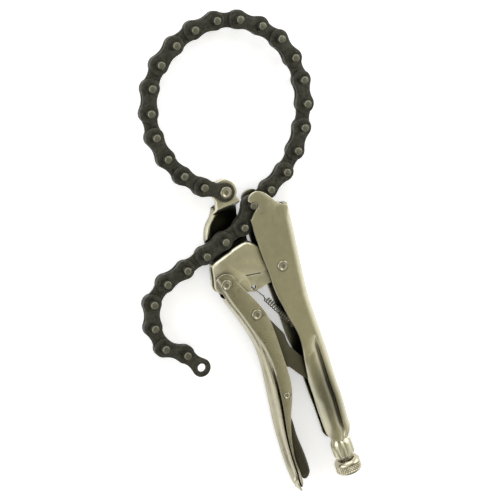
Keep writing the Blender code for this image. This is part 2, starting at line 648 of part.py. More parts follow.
# The lever seen square on: its rounded tip and its front edge, from the tip up to the jaw's pivot
LEVER_TIP = ((-0.0385, -0.1548), (-0.0362, -0.1530), (-0.0352, -0.1500))
LEVER_FRONT = (
    (-0.0354, -0.1420), (-0.0362, -0.1317), (-0.0353, -0.1250), (-0.0338, -0.1170), (-0.0308, -0.1066),
    (-0.0282, -0.0992), (-0.0245, -0.0911), (-0.0220, -0.0840), (-0.0206, -0.0767), (-0.0202, -0.0583),
    (-0.0200, -0.0442), (-0.0203, -0.0308), (-0.0227, -0.0210), (-0.0279, -0.0088),
)
LEVER_CHANNEL_Y = (-0.1060, -0.0912, -0.0743, -0.0636, -0.0537, -0.0429, -0.0249, -0.0087, 0.0200)
VALLEY_Y = (-0.1505, -0.1480, -0.1350, -0.1078, -0.0912, -0.0743, -0.0600, -0.0500)
VALLEY_OFFSETS = ((-0.0060, 0.0085), (0.0, 0.0056), (0.0, 0.0038))
VALLEY_START = 0.0006
CHANNEL_CORNER = 0.0016


def lever_silhouette():
    pivot = arc(LEVER_PIVOT, LEVER_BOSS_RADIUS, 20, 200, 9)
    left = LEVER_PIVOT[0] - BEYOND
    back = [(left, LEVER_PIVOT[1] - LEVER_BOSS_RADIUS), (left, LEVER_TIP[0][1])]
    return [*pivot, *back, *LEVER_TIP, *LEVER_FRONT]


def make_lever():
    lever = place("lever", loft_mesh([lever_section(y) for y in LEVER_SECTION_Y]), "satin_nickel", LEVER_PIVOT)
    channel = []
    for y in LEVER_CHANNEL_Y:
        web = along(LEVER_BACK, y) + SHEET + VALLEY_DEPTH * lever_blend(y)
        near = [(BEYOND, LEVER_INNER), (web + CHANNEL_CORNER, LEVER_INNER), (web, LEVER_INNER - CHANNEL_CORNER)]
        channel.append([Vector((x, y, z)) for x, z in near + [(x, -z) for x, z in reversed(near)]])
    combine(lever, "DIFFERENCE", place("cut_lever_channel", loft_mesh(channel)))
    slot_end = LEVER_PIVOT[1] - JAW_BOSS_RADIUS - SIDE_GAP
    left, right, top = LEVER_PIVOT[0] - BEYOND, LEVER_PIVOT[0] + BEYOND, LEVER_PIVOT[1] + BEYOND
    pivot_slot = [(left, slot_end), (right, slot_end), (right, top), (left, top)]
    slot = prism_mesh([pivot_slot], -LEVER_INNER, LEVER_INNER)
    combine(lever, "DIFFERENCE", place("cut_pivot_slot", slot))
    combine(lever, "INTERSECT", place("cut_lever_silhouette", prism_mesh([lever_silhouette()], -BEYOND, BEYOND)))
    valley = []
    for y in VALLEY_Y:
        depth = (VALLEY_DEPTH + VALLEY_START) * lever_blend(y) - VALLEY_START
        if y < TIP_END + 3 * SHEET:
            depth = VALLEY_START / 3
        back = along(LEVER_BACK, y)
        near = [(back + x, z) for x, z in VALLEY_OFFSETS]
        near[-1] = (back + depth, near[-1][1])
        valley.append([Vector((x, y, z)) for x, z in near + [(x, -z) for x, z in reversed(near)]])
    combine(lever, "DIFFERENCE", place("cut_valley", loft_mesh(valley)))
    for name, centre, radius in (
        ("cut_lever_pivot", LEVER_PIVOT, RIVET_RADIUS),
        ("cut_lever_link", LINK_PIVOT, RIVET_RADIUS),
        ("cut_lever_release", RELEASE_PIVOT, SMALL_RIVET_RADIUS),
    ):
        combine(lever, "DIFFERENCE", place(name, prism_mesh([hole(centre, radius)], -BEYOND, BEYOND)))


# The toggle link's edges between its head and its foot
LINK_LOWER = (
    (-0.0322, -0.0340), (-0.0290, -0.0500), (-0.0225, -0.0620), (-0.0192, -0.0680), (-0.0169, -0.0691),
    (-0.0138, -0.0741), (-0.0105, -0.0795), (-0.0060, -0.0850),
)
LINK_UPPER = (
    (-0.0030, -0.0720), (-0.0085, -0.0620), (-0.0122, -0.0560), (-0.0130, -0.0500), (-0.0129, -0.0455),
    (-0.0163, -0.0384), (-0.0190, -0.0326),
)


def make_toggle_link():
    head = arc(LINK_PIVOT, LINK_HEAD_RADIUS, 35, 215, 8)
    foot = arc(LINK_FOOT, LINK_FOOT_RADIUS, 215, 370, 6)
    rings = [[*head, *LINK_LOWER, *foot, *LINK_UPPER], hole(LINK_PIVOT, RIVET_RADIUS)]
    place("toggle_link", prism_mesh(rings, -LINK_HALF_WIDTH, LINK_HALF_WIDTH), "satin_nickel", LINK_PIVOT)


# The release lever's channel below its pivot, as (y, right edge, left edge, half width)
RELEASE_TAIL = (
    (-0.0995, -0.0277, -0.0306, 0.0043), (-0.1077, -0.0277, -0.0298, 0.0043), (-0.1175, -0.0279, -0.0328, 0.0043),
    (-0.1278, -0.0272, -0.0347, 0.0043), (-0.1385, -0.0270, -0.0352, 0.0043), (-0.1450, -0.0274, -0.0349, 0.0042),
    (-0.1478, -0.0288, -0.0339, 0.0037), (-0.1492, -0.0303, -0.0328, 0.0026),
)
RELEASE_HOLLOW = (
    (-0.1462, -0.0287), (-0.1385, -0.0270), (-0.1278, -0.0272), (-0.1175, -0.0279), (-0.1077, -0.0277),
    (-0.0990, -0.0277), (-0.0900, -0.0248), (-0.0800, -0.0222), (-0.0720, -0.0215),
)


RELEASE_NOSE = (-0.0219, -0.0677)
RELEASE_NOSE_RADIUS = 0.0020
RELEASE_LEFT = ((-0.0285, -0.0760), (-0.0294, -0.0840), (-0.0298, -0.0900), (-0.0301, -0.0980), (-0.0301, -0.1020))
RELEASE_RIGHT = ((-0.0277, -0.1020), (-0.0277, -0.0990), (-0.0248, -0.0900), (-0.0222, -0.0800))
RELEASE_BEND = 0.0018


def make_release_lever():
    """A pressed trigger: a nose under the link, a pivot, and a tail that widens to a round end."""
    half = LEVER_INNER - SIDE_GAP
    nose = arc(RELEASE_NOSE, RELEASE_NOSE_RADIUS, -10, 190, 6)
    outline = [*nose, *RELEASE_LEFT, *RELEASE_RIGHT]
    body = place("release_lever", prism_mesh([outline], -half, half), "satin_nickel", RELEASE_PIVOT)
    tail = []
    for y, right_edge, left_edge, reach in RELEASE_TAIL:
        bend = min(RELEASE_BEND, (right_edge - left_edge) * 0.6)
        near = [(left_edge, reach), (right_edge - bend, reach), (right_edge - bend * 0.3, reach - bend * 0.3)]
        near.append((right_edge, reach - bend))
        tail.append([Vector((x, y, z)) for x, z in near + [(x, -z) for x, z in reversed(near)]])
    combine(body, "UNION", place("join_tail", loft_mesh(tail)))
    hollow = []
    for y, right_edge in RELEASE_HOLLOW:
        near = [(RELEASE_PIVOT[0] - BEYOND, half - RELEASE_SHEET), (right_edge - RELEASE_SHEET, half - RELEASE_SHEET)]
        hollow.append([Vector((x, y, z)) for x, z in near + [(x, -z) for x, z in reversed(near)]])
    combine(body, "DIFFERENCE", place("cut_release_hollow", loft_mesh(hollow)))
    pivot_hole = prism_mesh([hole(RELEASE_PIVOT, SMALL_RIVET_RADIUS)], -BEYOND, BEYOND)
    combine(body, "DIFFERENCE", place("cut_release_pivot", pivot_hole))


def make_spring():
    """A close-wound extension spring hooked through the jaw's tab and round the handle's peg."""
    start, end = Vector(SPRING_START), Vector(SPRING_END)
    axis = (end - start).normalized()
    side = Vector((-axis.y, axis.x))
    lift = JAW_HALF + SPRING_WIRE_RADIUS + SEAT_GAP
    hook = Vector(SPRING_HOLE)
    points = [
        Vector((hook.x - 0.0003, hook.y - 0.0004, JAW_INNER - 0.0010)),
        Vector((hook.x + 0.0001, hook.y - 0.0005, JAW_INNER + SHEET / 2)),
        Vector((hook.x + 0.0003, hook.y - 0.0008, lift)),
        Vector((hook.x + 0.0022, hook.y - 0.0044, lift)),
        Vector((start.x - 0.0012, start.y + 0.0042, lift * 0.75)),
        Vector((start.x - 0.0014, start.y + 0.0014, lift * 0.40)),
    ]
    steps = 6
    for i in range(SPRING_TURNS * steps + 1):
        angle = 2 * math.pi * i / steps
        flat = start + (end - start) * i / (SPRING_TURNS * steps)
        flat = flat + side * SPRING_COIL_RADIUS * math.cos(angle)
        points.append(Vector((flat.x, flat.y, SPRING_COIL_RADIUS * math.sin(angle))))
    peg = Vector(SPRING_PEG)
    loop_radius = SPRING_PEG_RADIUS + SPRING_WIRE_RADIUS + RUNNING_GAP
    for x, y in arc(peg, loop_radius, 160, -120, 7):
        points.append(Vector((x, y, SPRING_WIRE_RADIUS)))
    curve = bpy.data.curves.new("tension_spring", "CURVE")
    curve.dimensions = "3D"
    curve.bevel_depth = SPRING_WIRE_RADIUS
    curve.bevel_resolution = 0
    curve.use_fill_caps = True
    spline = curve.splines.new("POLY")
    spline.points.add(len(points) - 1)
    for target, point in zip(spline.points, points):
        target.co = (point.x, point.y, point.z, 1.0)
    curve.materials.append(finish_material("spring_steel"))
    obj = bpy.data.objects.new("tension_spring", curve)
    obj.location = (-BOX_CENTRE[0], -BOX_CENTRE[1], MIDDLE_HEIGHT)
    bpy.context.scene.collection.objects.link(obj)


clear_scene()
make_fixed_handle()
make_screw()
make_jaw_back_plate()
make_jaw_front_shell()
make_lever()
make_toggle_link()
make_release_lever()
make_rivets()
make_spring()
make_chain()
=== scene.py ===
import json
import math

import bmesh
import bpy
from mathutils import Matrix, Vector


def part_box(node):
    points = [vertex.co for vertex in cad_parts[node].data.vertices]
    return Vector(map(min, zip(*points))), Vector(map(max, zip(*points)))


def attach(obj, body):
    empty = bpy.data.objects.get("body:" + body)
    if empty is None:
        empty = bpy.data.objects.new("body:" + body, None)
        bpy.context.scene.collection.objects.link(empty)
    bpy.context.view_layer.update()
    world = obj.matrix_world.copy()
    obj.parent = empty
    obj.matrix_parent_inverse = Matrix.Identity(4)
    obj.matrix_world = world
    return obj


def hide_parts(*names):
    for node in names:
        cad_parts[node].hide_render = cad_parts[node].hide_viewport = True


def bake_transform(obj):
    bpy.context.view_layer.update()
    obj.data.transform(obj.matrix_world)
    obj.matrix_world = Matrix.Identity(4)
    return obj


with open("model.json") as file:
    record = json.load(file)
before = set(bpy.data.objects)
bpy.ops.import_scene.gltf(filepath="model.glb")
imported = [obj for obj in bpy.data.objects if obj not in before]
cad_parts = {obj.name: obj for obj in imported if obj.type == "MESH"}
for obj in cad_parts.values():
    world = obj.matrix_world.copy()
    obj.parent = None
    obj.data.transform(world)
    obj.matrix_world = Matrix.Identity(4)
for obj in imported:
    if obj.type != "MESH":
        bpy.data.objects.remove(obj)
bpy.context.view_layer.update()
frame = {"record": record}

# Fixed handle: one long pressing of sheet steel, U-shaped at the jaw end and drawn in round the
# screw below, plated satin nickel. The front edges stay open, the nose is cut to a hook for the
# chain, and the lower end is crimped into a fluted neck that the screw is threaded through.
MM = 0.001
JOINTS = {joint["name"]: joint for joint in frame["record"]["behaviour"]["joints"]}
MAIN_RIVET = Vector(JOINTS["jaw_pivot"]["pos_m"])
HANDLE_HALF = 7.4
HANDLE_SHEET = 2.2
HANDLE_TOP = 38.0
SCREW_X = 0.9

HANDLE_BACK = (
    (-131.0, 8.9), (-129.0, 10.2), (-126.0, 11.0), (-121.0, 11.0), (-103.5, 11.9), (-93.4, 11.7), (-67.0, 12.2), (-50.0, 12.0),
    (-40.2, 11.9), (-24.7, 12.1), (-0.1, 14.6), (19.3, 16.8), (32.2, 18.1), (40.0, 18.8),
)
NEAR_FRONT = (
    (-133.0, -7.6), (-118.0, -7.9), (-95.0, -7.9), (-79.6, -7.7), (-67.1, -6.2), (-61.2, -5.3), (-53.9, -4.5), (-46.9, -4.8),
    (-35.3, -7.2), (-25.4, -8.7), (-15.1, -10.0), (-2.2, -10.3), (14.7, -11.0), (30.0, -10.9), (38.0, -10.7),
)
FAR_FRONT = (
    (-133.0, -7.6), (-118.0, -7.9), (-95.0, -8.0), (-72.0, -8.2), (-61.1, -8.6), (-49.4, -9.2), (-33.5, -9.3),
    (-15.1, -10.0), (-2.2, -10.4), (14.7, -11.1), (30.0, -10.9), (38.0, -10.7),
)


def ease(value, low, high):
    t = min(max((value - low) / (high - low), 0.0), 1.0)
    return t * t * (3 - 2 * t)


def curve_at(table, place):
    """Smooth reading of a rising table of (place, size) pairs."""
    if place <= table[0][0]:
        return table[0][1]
    if place >= table[-1][0]:
        return table[-1][1]
    k = max(i for i in range(len(table) - 1) if table[i][0] <= place)
    slopes = []
    for i in (k, k + 1):
        before, after = table[max(i - 1, 0)], table[min(i + 1, len(table) - 1)]
        slopes.append((after[1] - before[1]) / (after[0] - before[0]))
    span = table[k + 1][0] - table[k][0]
    t = (place - table[k][0]) / span
    a, b = table[k][1], table[k + 1][1]
    rise = (2 * t**3 - 3 * t**2 + 1) * a + (3 * t**2 - 2 * t**3) * b
    return rise + span * ((t**3 - 2 * t**2 + t) * slopes[0] + (t**3 - t**2) * slopes[1])


def ring(centre, radius, start, end, steps):
    """Points on an arc from start to end, in degrees."""
    points = []
    for i in range(steps + 1):
        angle = math.radians(start + (end - start) * i / steps)
        points.append((centre[0] + radius * math.cos(angle), centre[1] + radius * math.sin(angle)))
    return points


def rounded_line(points, radius, steps=4):
    """An open line with its inner corners rounded."""
    out = [Vector(points[0])]
    for before, corner, after in zip(points, points[1:], points[2:]):
        corner = Vector(corner)
        back, ahead = Vector(before) - corner, Vector(after) - corner
        reach = min(radius, back.length * 0.45, ahead.length * 0.45)
        first, last = corner + back.normalized() * reach, corner + ahead.normalized() * reach
        for i in range(steps + 1):
            t = i / steps
            out.append(first * (1 - t) ** 2 + corner * 2 * t * (1 - t) + last * t * t)
    out.append(Vector(points[-1]))
    return [(p.x, p.y) for p in out]


def rounded_loop(points, radius, steps=4):
    """A closed outline with every corner rounded."""
    closed = [points[-1], *points, points[0]]
    return rounded_line(closed, radius, steps)[1:-1]


def new_piece(name, bm, body, material, nodes=(), smooth=40):
    """Makes a piece from a bmesh that is drawn in millimetres about the main rivet."""
    bmesh.ops.remove_doubles(bm, verts=bm.verts, dist=1e-5)
    bmesh.ops.recalc_face_normals(bm, faces=bm.faces)
    bmesh.ops.scale(bm, vec=(MM, MM, MM), verts=bm.verts)
    bmesh.ops.translate(bm, vec=MAIN_RIVET, verts=bm.verts)
    mesh = bpy.data.meshes.new(name)
    bm.to_mesh(mesh)
    bm.free()
    mesh.materials.append(material)
    mesh.shade_smooth()
    mesh.set_sharp_from_angle(angle=math.radians(smooth))
    piece = bpy.data.objects.new(name, mesh)
    bpy.context.scene.collection.objects.link(piece)
    if body:
        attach(piece, body)
    if nodes:
        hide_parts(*nodes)
    return piece


def cut(piece, operation, bm):
    """Applies a Boolean with a tool drawn the same way."""
    tool = new_piece("tool", bm, None, piece.data.materials[0])
    modifier = piece.modifiers.new("cut", "BOOLEAN")
    modifier.operation = operation
    modifier.solver = "EXACT"
    modifier.object = tool
    bake(piece)
    bpy.data.objects.remove(tool, do_unlink=True)


def bake(piece):
    """Keeps what the modifiers make, as a plain mesh."""
    made = bpy.data.meshes.new_from_object(piece.evaluated_get(bpy.context.evaluated_depsgraph_get()))
    piece.modifiers.clear()
    piece.data = made


def soften(piece, width, segments=2, angle=35):
    """Rounds the sheared edges, as tumbling before plating does, once slivers of the cuts are merged."""
    clean = bmesh.new()
    clean.from_mesh(piece.data)
    bmesh.ops.remove_doubles(clean, verts=clean.verts, dist=0.02 * MM)
    bmesh.ops.dissolve_degenerate(clean, dist=0.02 * MM, edges=clean.edges)
    clean.to_mesh(piece.data)
    clean.free()
    bevel = piece.modifiers.new("edges", "BEVEL")
    bevel.width = width * MM
    bevel.segments = segments
    bevel.limit_method = "ANGLE"
    bevel.angle_limit = math.radians(angle)
    bevel.use_clamp_overlap = True
    bevel.miter_outer = "MITER_ARC"
    bevel.harden_normals = False
    bake(piece)
    piece.data.shade_smooth()
    piece.data.set_sharp_from_angle(angle=math.radians(50))


def plate_bm(loops, low, high):
    """A flat plate: the first loop is its outline and the others are holes."""
    bm = bmesh.new()
    rings = [[bm.verts.new((x, y, low)) for x, y in loop] for loop in loops]
    edges = []
    for verts in rings:
        edges += [bm.edges.new((a, b)) for a, b in zip(verts, verts[1:] + verts[:1])]
    fill = bmesh.ops.triangle_fill(bm, edges=edges, use_beauty=True, use_dissolve=False)
    faces = [item for item in fill["geom"] if isinstance(item, bmesh.types.BMFace)]
    top = {v: bm.verts.new((v.co.x, v.co.y, high)) for verts in rings for v in verts}
    for face in faces:
        bm.faces.new([top[v] for v in face.verts])
    for verts in rings:
        for a, b in zip(verts, verts[1:] + verts[:1]):
            bm.faces.new((a, b, top[b], top[a]))
    return bm


def skin_bm(rows, closed=True, caps=True):
    """Faces between rows of equally many points."""
    bm = bmesh.new()
    grid = [[bm.verts.new(point) for point in row] for row in rows]
    count = len(rows[0])
    for lower, upper in zip(grid, grid[1:]):
        for i in range(count if closed else count - 1):
            j = (i + 1) % count
            bm.faces.new((lower[i], lower[j], upper[j], upper[i]))
    if caps:
        bm.faces.new(grid[0])
        bm.faces.new(grid[-1])
    return bm


def node_kit(name):
    """A new material and short ways to add and join its nodes."""
    material = bpy.data.materials.new(name)
    material.use_nodes = True
    tree = material.node_tree
    shader = tree.nodes["Principled BSDF"]
    place = tree.nodes.new("ShaderNodeTexCoord")

    def add(kind, **values):
        node = tree.nodes.new(kind)
        for key, value in values.items():
            if hasattr(node, key):
                setattr(node, key, value)
            else:
                node.inputs[key.replace("_", " ")].default_value = value
        return node

    def join(start, end):
        tree.links.new(start, end)

    return material, shader, place, add, join


def plated_steel(name, colour, dark, rough, recess_shade=0.96, grain=1.0, reach=15.0, painted_shade_patch=None):
    """Satin nickel on pressed steel: mottled sheen, fine grain, rubbed edges, and recesses darkened towards the dark
    colour by ambient occlusion as painted shade.
    The patch argument gives the middle, reach, stretch, inner share and least share of steel of a soft patch of painted
    shade."""
    material, shader, place, add, join = node_kit(name)
    shader.inputs["Metallic"].default_value = 1.0
    mottle = add("ShaderNodeTexNoise", Scale=230.0, Detail=5.0, Roughness=0.65)
    cloud = add("ShaderNodeTexNoise", Scale=38.0, Detail=3.0, Roughness=0.5)
    pores = add("ShaderNodeTexNoise", Scale=2600.0, Detail=3.0, Roughness=0.6)
    for texture in (mottle, cloud, pores):
        join(place.outputs["Object"], texture.inputs["Vector"])
    tone = add("ShaderNodeMixRGB", blend_type="MIX")
    tone.inputs["Color1"].default_value = (*[c * 0.70 for c in colour], 1)
    tone.inputs["Color2"].default_value = (*[min(c * 1.22, 1) for c in colour], 1)
    blend = add("ShaderNodeMath", operation="MULTIPLY_ADD")
    join(mottle.outputs["Fac"], blend.inputs[0])
    blend.inputs[1].default_value = 0.55
    spread = add("ShaderNodeMath", operation="MULTIPLY")
    join(cloud.outputs["Fac"], spread.inputs[0])
    spread.inputs[1].default_value = 0.55
    join(spread.outputs[0], blend.inputs[2])
    join(blend.outputs[0], tone.inputs["Fac"])
    # Painted shade: ambient occlusion darkens the colour towards the dark colour in recesses, creases and between
    # parts.
    recess = add("ShaderNodeAmbientOcclusion", samples=8)
    recess.inputs["Distance"].default_value = reach * MM
    depth = add("ShaderNodeMapRange")
    depth.inputs["From Min"].default_value = 0.30
    depth.inputs["From Max"].default_value = 0.88
    depth.inputs["To Min"].default_value = 1.0 - recess_shade
    depth.inputs["To Max"].default_value = 1.0
    join(recess.outputs["AO"], depth.inputs["Value"])
    shade = add("ShaderNodeMixRGB", blend_type="MIX")
    shade.inputs["Color1"].default_value = (*dark, 1)
    join(depth.outputs["Result"], shade.inputs["Fac"])
    join(tone.outputs["Color"], shade.inputs["Color2"])
    painted = shade.outputs["Color"]
    # Painted shade: a soft patch, darkest at its middle, darkens the colour towards the dark colour where a shadow
    # falls on the part.
    if painted_shade_patch:
        middle, shade_reach, stretch, inner_share, least = painted_shade_patch
        drawn = add("ShaderNodeVectorMath", operation="MULTIPLY")
        join(place.outputs["Object"], drawn.inputs[0])
        drawn.inputs[1].default_value = stretch
        apart = add("ShaderNodeVectorMath", operation="DISTANCE")
        join(drawn.outputs["Vector"], apart.inputs[0])
        apart.inputs[1].default_value = (MAIN_RIVET + Vector(middle) * MM) * Vector(stretch)
        shade_edge = add("ShaderNodeMapRange")
        shade_edge.inputs["From Min"].default_value = shade_reach * MM * inner_share
        shade_edge.inputs["From Max"].default_value = shade_reach * MM
        shade_edge.inputs["To Min"].default_value = least
        join(apart.outputs["Value"], shade_edge.inputs["Value"])
        shaded_patch = add("ShaderNodeMixRGB", blend_type="MIX")
        shaded_patch.inputs["Color1"].default_value = (*dark, 1)
        join(shade_edge.outputs["Result"], shaded_patch.inputs["Fac"])
        join(painted, shaded_patch.inputs["Color2"])
        painted = shaded_patch.outputs["Color"]
    join(painted, shader.inputs["Base Color"])
    gloss = add("ShaderNodeMapRange")
    gloss.inputs["To Min"].default_value = rough - 0.05
    gloss.inputs["To Max"].default_value = rough + 0.09
    join(mottle.outputs["Fac"], gloss.inputs["Value"])
    join(gloss.outputs["Result"], shader.inputs["Roughness"])
    edge = add("ShaderNodeBevel", samples=6)
    edge.inputs["Radius"].default_value = 0.00035
    bump = add("ShaderNodeBump")
    bump.inputs["Strength"].default_value = 0.10 * grain
    bump.inputs["Distance"].default_value = 0.0002
    join(pores.outputs["Fac"], bump.inputs["Height"])
    join(edge.outputs["Normal"], bump.inputs["Normal"])
    wave = add("ShaderNodeBump")
    wave.inputs["Strength"].default_value = 0.10 * grain
    wave.inputs["Distance"].default_value = 0.0010
    join(mottle.outputs["Fac"], wave.inputs["Height"])
    join(bump.outputs["Normal"], wave.inputs["Normal"])
    join(wave.outputs["Normal"], shader.inputs["Normal"])
    return material


CREST_X = -1.2
CREST_HALF = 7.1
CREASE_REACH = 1.1
CREASE_DEPTH = 2.1
NICKEL = (0.64, 0.61, 0.45)
NICKEL_SHADOW = (0.022, 0.021, 0.014)
# The handle's patch of painted shade darkens its drawn tube round the screw.
handle_steel = plated_steel("handle nickel plate", NICKEL, NICKEL_SHADOW, 0.28,
                            painted_shade_patch=((1.5, -98.0, 6.0), 9.5, (1, 0.28, 0.3), 0.35, 0.40))


def cheek_height(x, y, back_start):
    """Height of the cheek's outer face: flat above, and below pressed in round the screw and creased."""
    pressed = ease(-y, 51.0, 66.0) * (1 - ease(-y, 119.0, 132.0) * 0.6)
    lip = 5.7 - 1.1 * ease(-y, 96.0, 106.0)
    crease = back_start - CREASE_REACH
    if x < CREST_X:
        drawn = CREST_HALF + (lip - CREST_HALF) * ((CREST_X - x) / 6.7) ** 2
    elif x < crease:
        drawn = CREST_HALF - CREASE_DEPTH * ((x - CREST_X) / (crease - CREST_X)) ** 2
    else:
        rise = ease(x, crease, crease + 1.0)
        drawn = (CREST_HALF - CREASE_DEPTH) * (1 - rise) + HANDLE_HALF * rise
    pinch = 0.55 * math.exp(-(((y + 66.5 - 0.4 * x) / 2.0) ** 2) - ((x + 1.6) / 3.4) ** 2)
    return HANDLE_HALF + (drawn - HANDLE_HALF) * pressed - pinch


def handle_row(y, inset):
    """Outer skin across the handle from the near front edge round the back to the far one."""
    back = curve_at(HANDLE_BACK, y)
    bend = 5.7
    start = back - bend
    points = []
    for front, side in ((curve_at(NEAR_FRONT, y), 1), (curve_at(FAR_FRONT, y), -1)):
        flat = []
        crease = start - CREASE_REACH
        for first, last, steps in ((front, crease - 1.5, 14), (crease - 1.5, crease, 5), (crease, start, 7)):
            for i in range(steps):
                x = first + (last - first) * i / steps
                flat.append((x, (cheek_height(x, y, start) - inset) * side))
        quarter = []
        for i in range(9):
            angle = math.radians(90 - 90 * i / 8)
            radius = bend - inset
            quarter.append((start + radius * math.cos(angle), (HANDLE_HALF - bend + radius * math.sin(angle)) * side))
        points.append(flat + quarter)
    row = points[0] + list(reversed(points[1]))[1 if abs(HANDLE_HALF - bend) < 1e-6 else 0:]
    return row


SHEET_END = (
    (-9.6, -119.0), (-8.6, -123.0), (-7.3, -127.5), (-5.4, -130.8), (-1.8, -132.7), (2.0, -133.3), (6.0, -132.7), (9.6, -131.0),
)


def handle_lower_end(x):
    """The sheet's lower end slants from the front edges to the back."""
    return curve_at(SHEET_END, x)


rows = []
stations = 110
for k in range(stations + 1):
    share = k / stations
    outer, inner = [], []
    reach = [handle_lower_end(x) for x, z in handle_row(-120.0, 0.0)]
    width = len(reach)
    for i in range(width):
        y = reach[i] + (HANDLE_TOP - reach[i]) * share
        x, z = handle_row(y, 0.0)[i]
        outer.append(Vector((x, y, z)))
        x, z = handle_row(y, HANDLE_SHEET)[i]
        inner.append(Vector((x, y, z)))
    rows.append(outer + list(reversed(inner)))
handle = new_piece("handle_pressing", skin_bm(rows), "handle", handle_steel, ["fixed_handle"])

HOOK_PIN = Vector(JOINTS["chain_hinge_21"]["pos_m"]) / MM - MAIN_RIVET / MM
NOTCH = 2.84
nose = rounded_line([
    (16.6, 36.6), (16.1, 38.2), (12.2, 40.3), (9.0, 44.6), (5.2, 50.4), (2.2, 53.3), (-0.8, 54.4), (-3.8, 54.2), (-6.4, 52.9),
    (-8.2, 50.2),
], 2.0)
nose += ring(HOOK_PIN, NOTCH, 118, -42, 14)
nose += rounded_line([(-4.6, 43.4), (-10.7, 37.5), (-10.9, 30.0)], 2.0)
nose += [(14.0, 30.0)]
for side in (1, -1):
    low, high = sorted((side * (HANDLE_HALF - HANDLE_SHEET), side * HANDLE_HALF))
    cut(handle, "UNION", plate_bm([nose], low, high))
rivet_hole = [ring((0, 0), 3.1, 0, 345, 23)]
cut(handle, "DIFFERENCE", plate_bm(rivet_hole, -12, 12))
soften(handle, 0.40, 2, 50)

# The neck: the end of the pressing crimped to a fluted collar round the screw.
rows = []
NECK_FLUTES = 5
for y, size, flute in (
    (-116.0, 5.1, 0.0), (-124.0, 5.1, 0.0), (-131.0, 5.1, 0.0), (-133.2, 5.3, 0.2), (-134.8, 6.5, 1.0), (-136.6, 7.4, 1.4),
    (-140.0, 7.6, 1.6), (-145.0, 7.55, 1.8), (-146.6, 7.4, 1.8), (-147.2, 7.0, 1.4), (-147.2, 4.75, 0.0), (-146.0, 4.7, 0.0),
    (-117.0, 4.7, 0.0), (-116.0, 4.8, 0.0),
):
    row = []
    for i in range(80):
        angle = 2 * math.pi * i / 80
        groove = max(0.0, math.cos(NECK_FLUTES * (angle - math.radians(108)))) ** 2
        radius = size - flute * groove
        row.append(Vector((SCREW_X + radius * math.cos(angle), y, radius * 0.94 * math.sin(angle))))
    rows.append(row)
rows.append(rows[0])
new_piece("handle_neck", skin_bm(rows, caps=False), "handle", handle_steel)

# Spring peg: a small tab lanced from the far cheek, with the spring's end hooked round it.
PEG = (-4.0, -43.0)
new_piece("spring_peg", plate_bm([ring(PEG, 1.1, 0, 330, 11)], -6.3, 1.4), "handle", handle_steel)

# Adjusting screw: a turned shank with a rolled thread, free of plating. Its tip bears on the link,
# and its other end is pressed into the knob.
SCREW_TIP = (Vector(JOINTS["screw_slide"]["pos_m"]) - MAIN_RIVET).y / MM
KNOB_TOP = (Vector(JOINTS["knob_turn"]["pos_m"]) - MAIN_RIVET).y / MM
THREAD_PITCH = 1.5875


def turned_steel(name, colour, rough):
    """Turned steel with fine rings round the Y axis."""
    material, shader, place, add, join = node_kit(name)
    shader.inputs["Metallic"].default_value = 1.0
    stretch = add("ShaderNodeMapping")
    stretch.inputs["Scale"].default_value = (60.0, 2200.0, 60.0)
    join(place.outputs["Object"], stretch.inputs["Vector"])
    lines = add("ShaderNodeTexNoise", Scale=1.0, Detail=4.0)
    join(stretch.outputs["Vector"], lines.inputs["Vector"])
    stain = add("ShaderNodeTexNoise", Scale=300.0, Detail=4.0)
    join(place.outputs["Object"], stain.inputs["Vector"])
    tone = add("ShaderNodeMixRGB", blend_type="MIX")
    tone.inputs["Color1"].default_value = (*[c * 0.75 for c in colour], 1)
    tone.inputs["Color2"].default_value = (*colour, 1)
    join(stain.outputs["Fac"], tone.inputs["Fac"])
    join(tone.outputs["Color"], shader.inputs["Base Color"])
    gloss = add("ShaderNodeMapRange")
    gloss.inputs["To Min"].default_value = rough
    gloss.inputs["To Max"].default_value = rough + 0.16
    join(lines.outputs["Fac"], gloss.inputs["Value"])
    join(gloss.outputs["Result"], shader.inputs["Roughness"])
    bump = add("ShaderNodeBump")
    bump.inputs["Strength"].default_value = 0.15
    bump.inputs["Distance"].default_value = 0.0001
    join(lines.outputs["Fac"], bump.inputs["Height"])
    join(bump.outputs["Normal"], shader.inputs["Normal"])
    return material


screw_steel = turned_steel("screw steel", (0.40, 0.38, 0.31), 0.26)
rows = []
around = 28
for k in range(int((SCREW_TIP - KNOB_TOP) / THREAD_PITCH * 8) + 1):
    y = SCREW_TIP - 0.8 - k * THREAD_PITCH / 8
    row = []
    for i in range(around):
        angle = 2 * math.pi * i / around
        wave = abs(2 * ((y / THREAD_PITCH + i / around) % 1.0) - 1)
        radius = 3.55 + 0.62 * min(max(wave * 1.5 - 0.2, 0.0), 1.0)
        row.append(Vector((SCREW_X + radius * math.cos(angle), y, radius * math.sin(angle))))
    rows.append(row)
end_row = [Vector((SCREW_X + (p.x - SCREW_X) * 0.78, SCREW_TIP, p.z * 0.78)) for p in rows[0]]
rows.insert(0, end_row)
new_piece("adjusting_screw_thread", skin_bm(rows), "screw", screw_steel, ["adjusting_screw"])

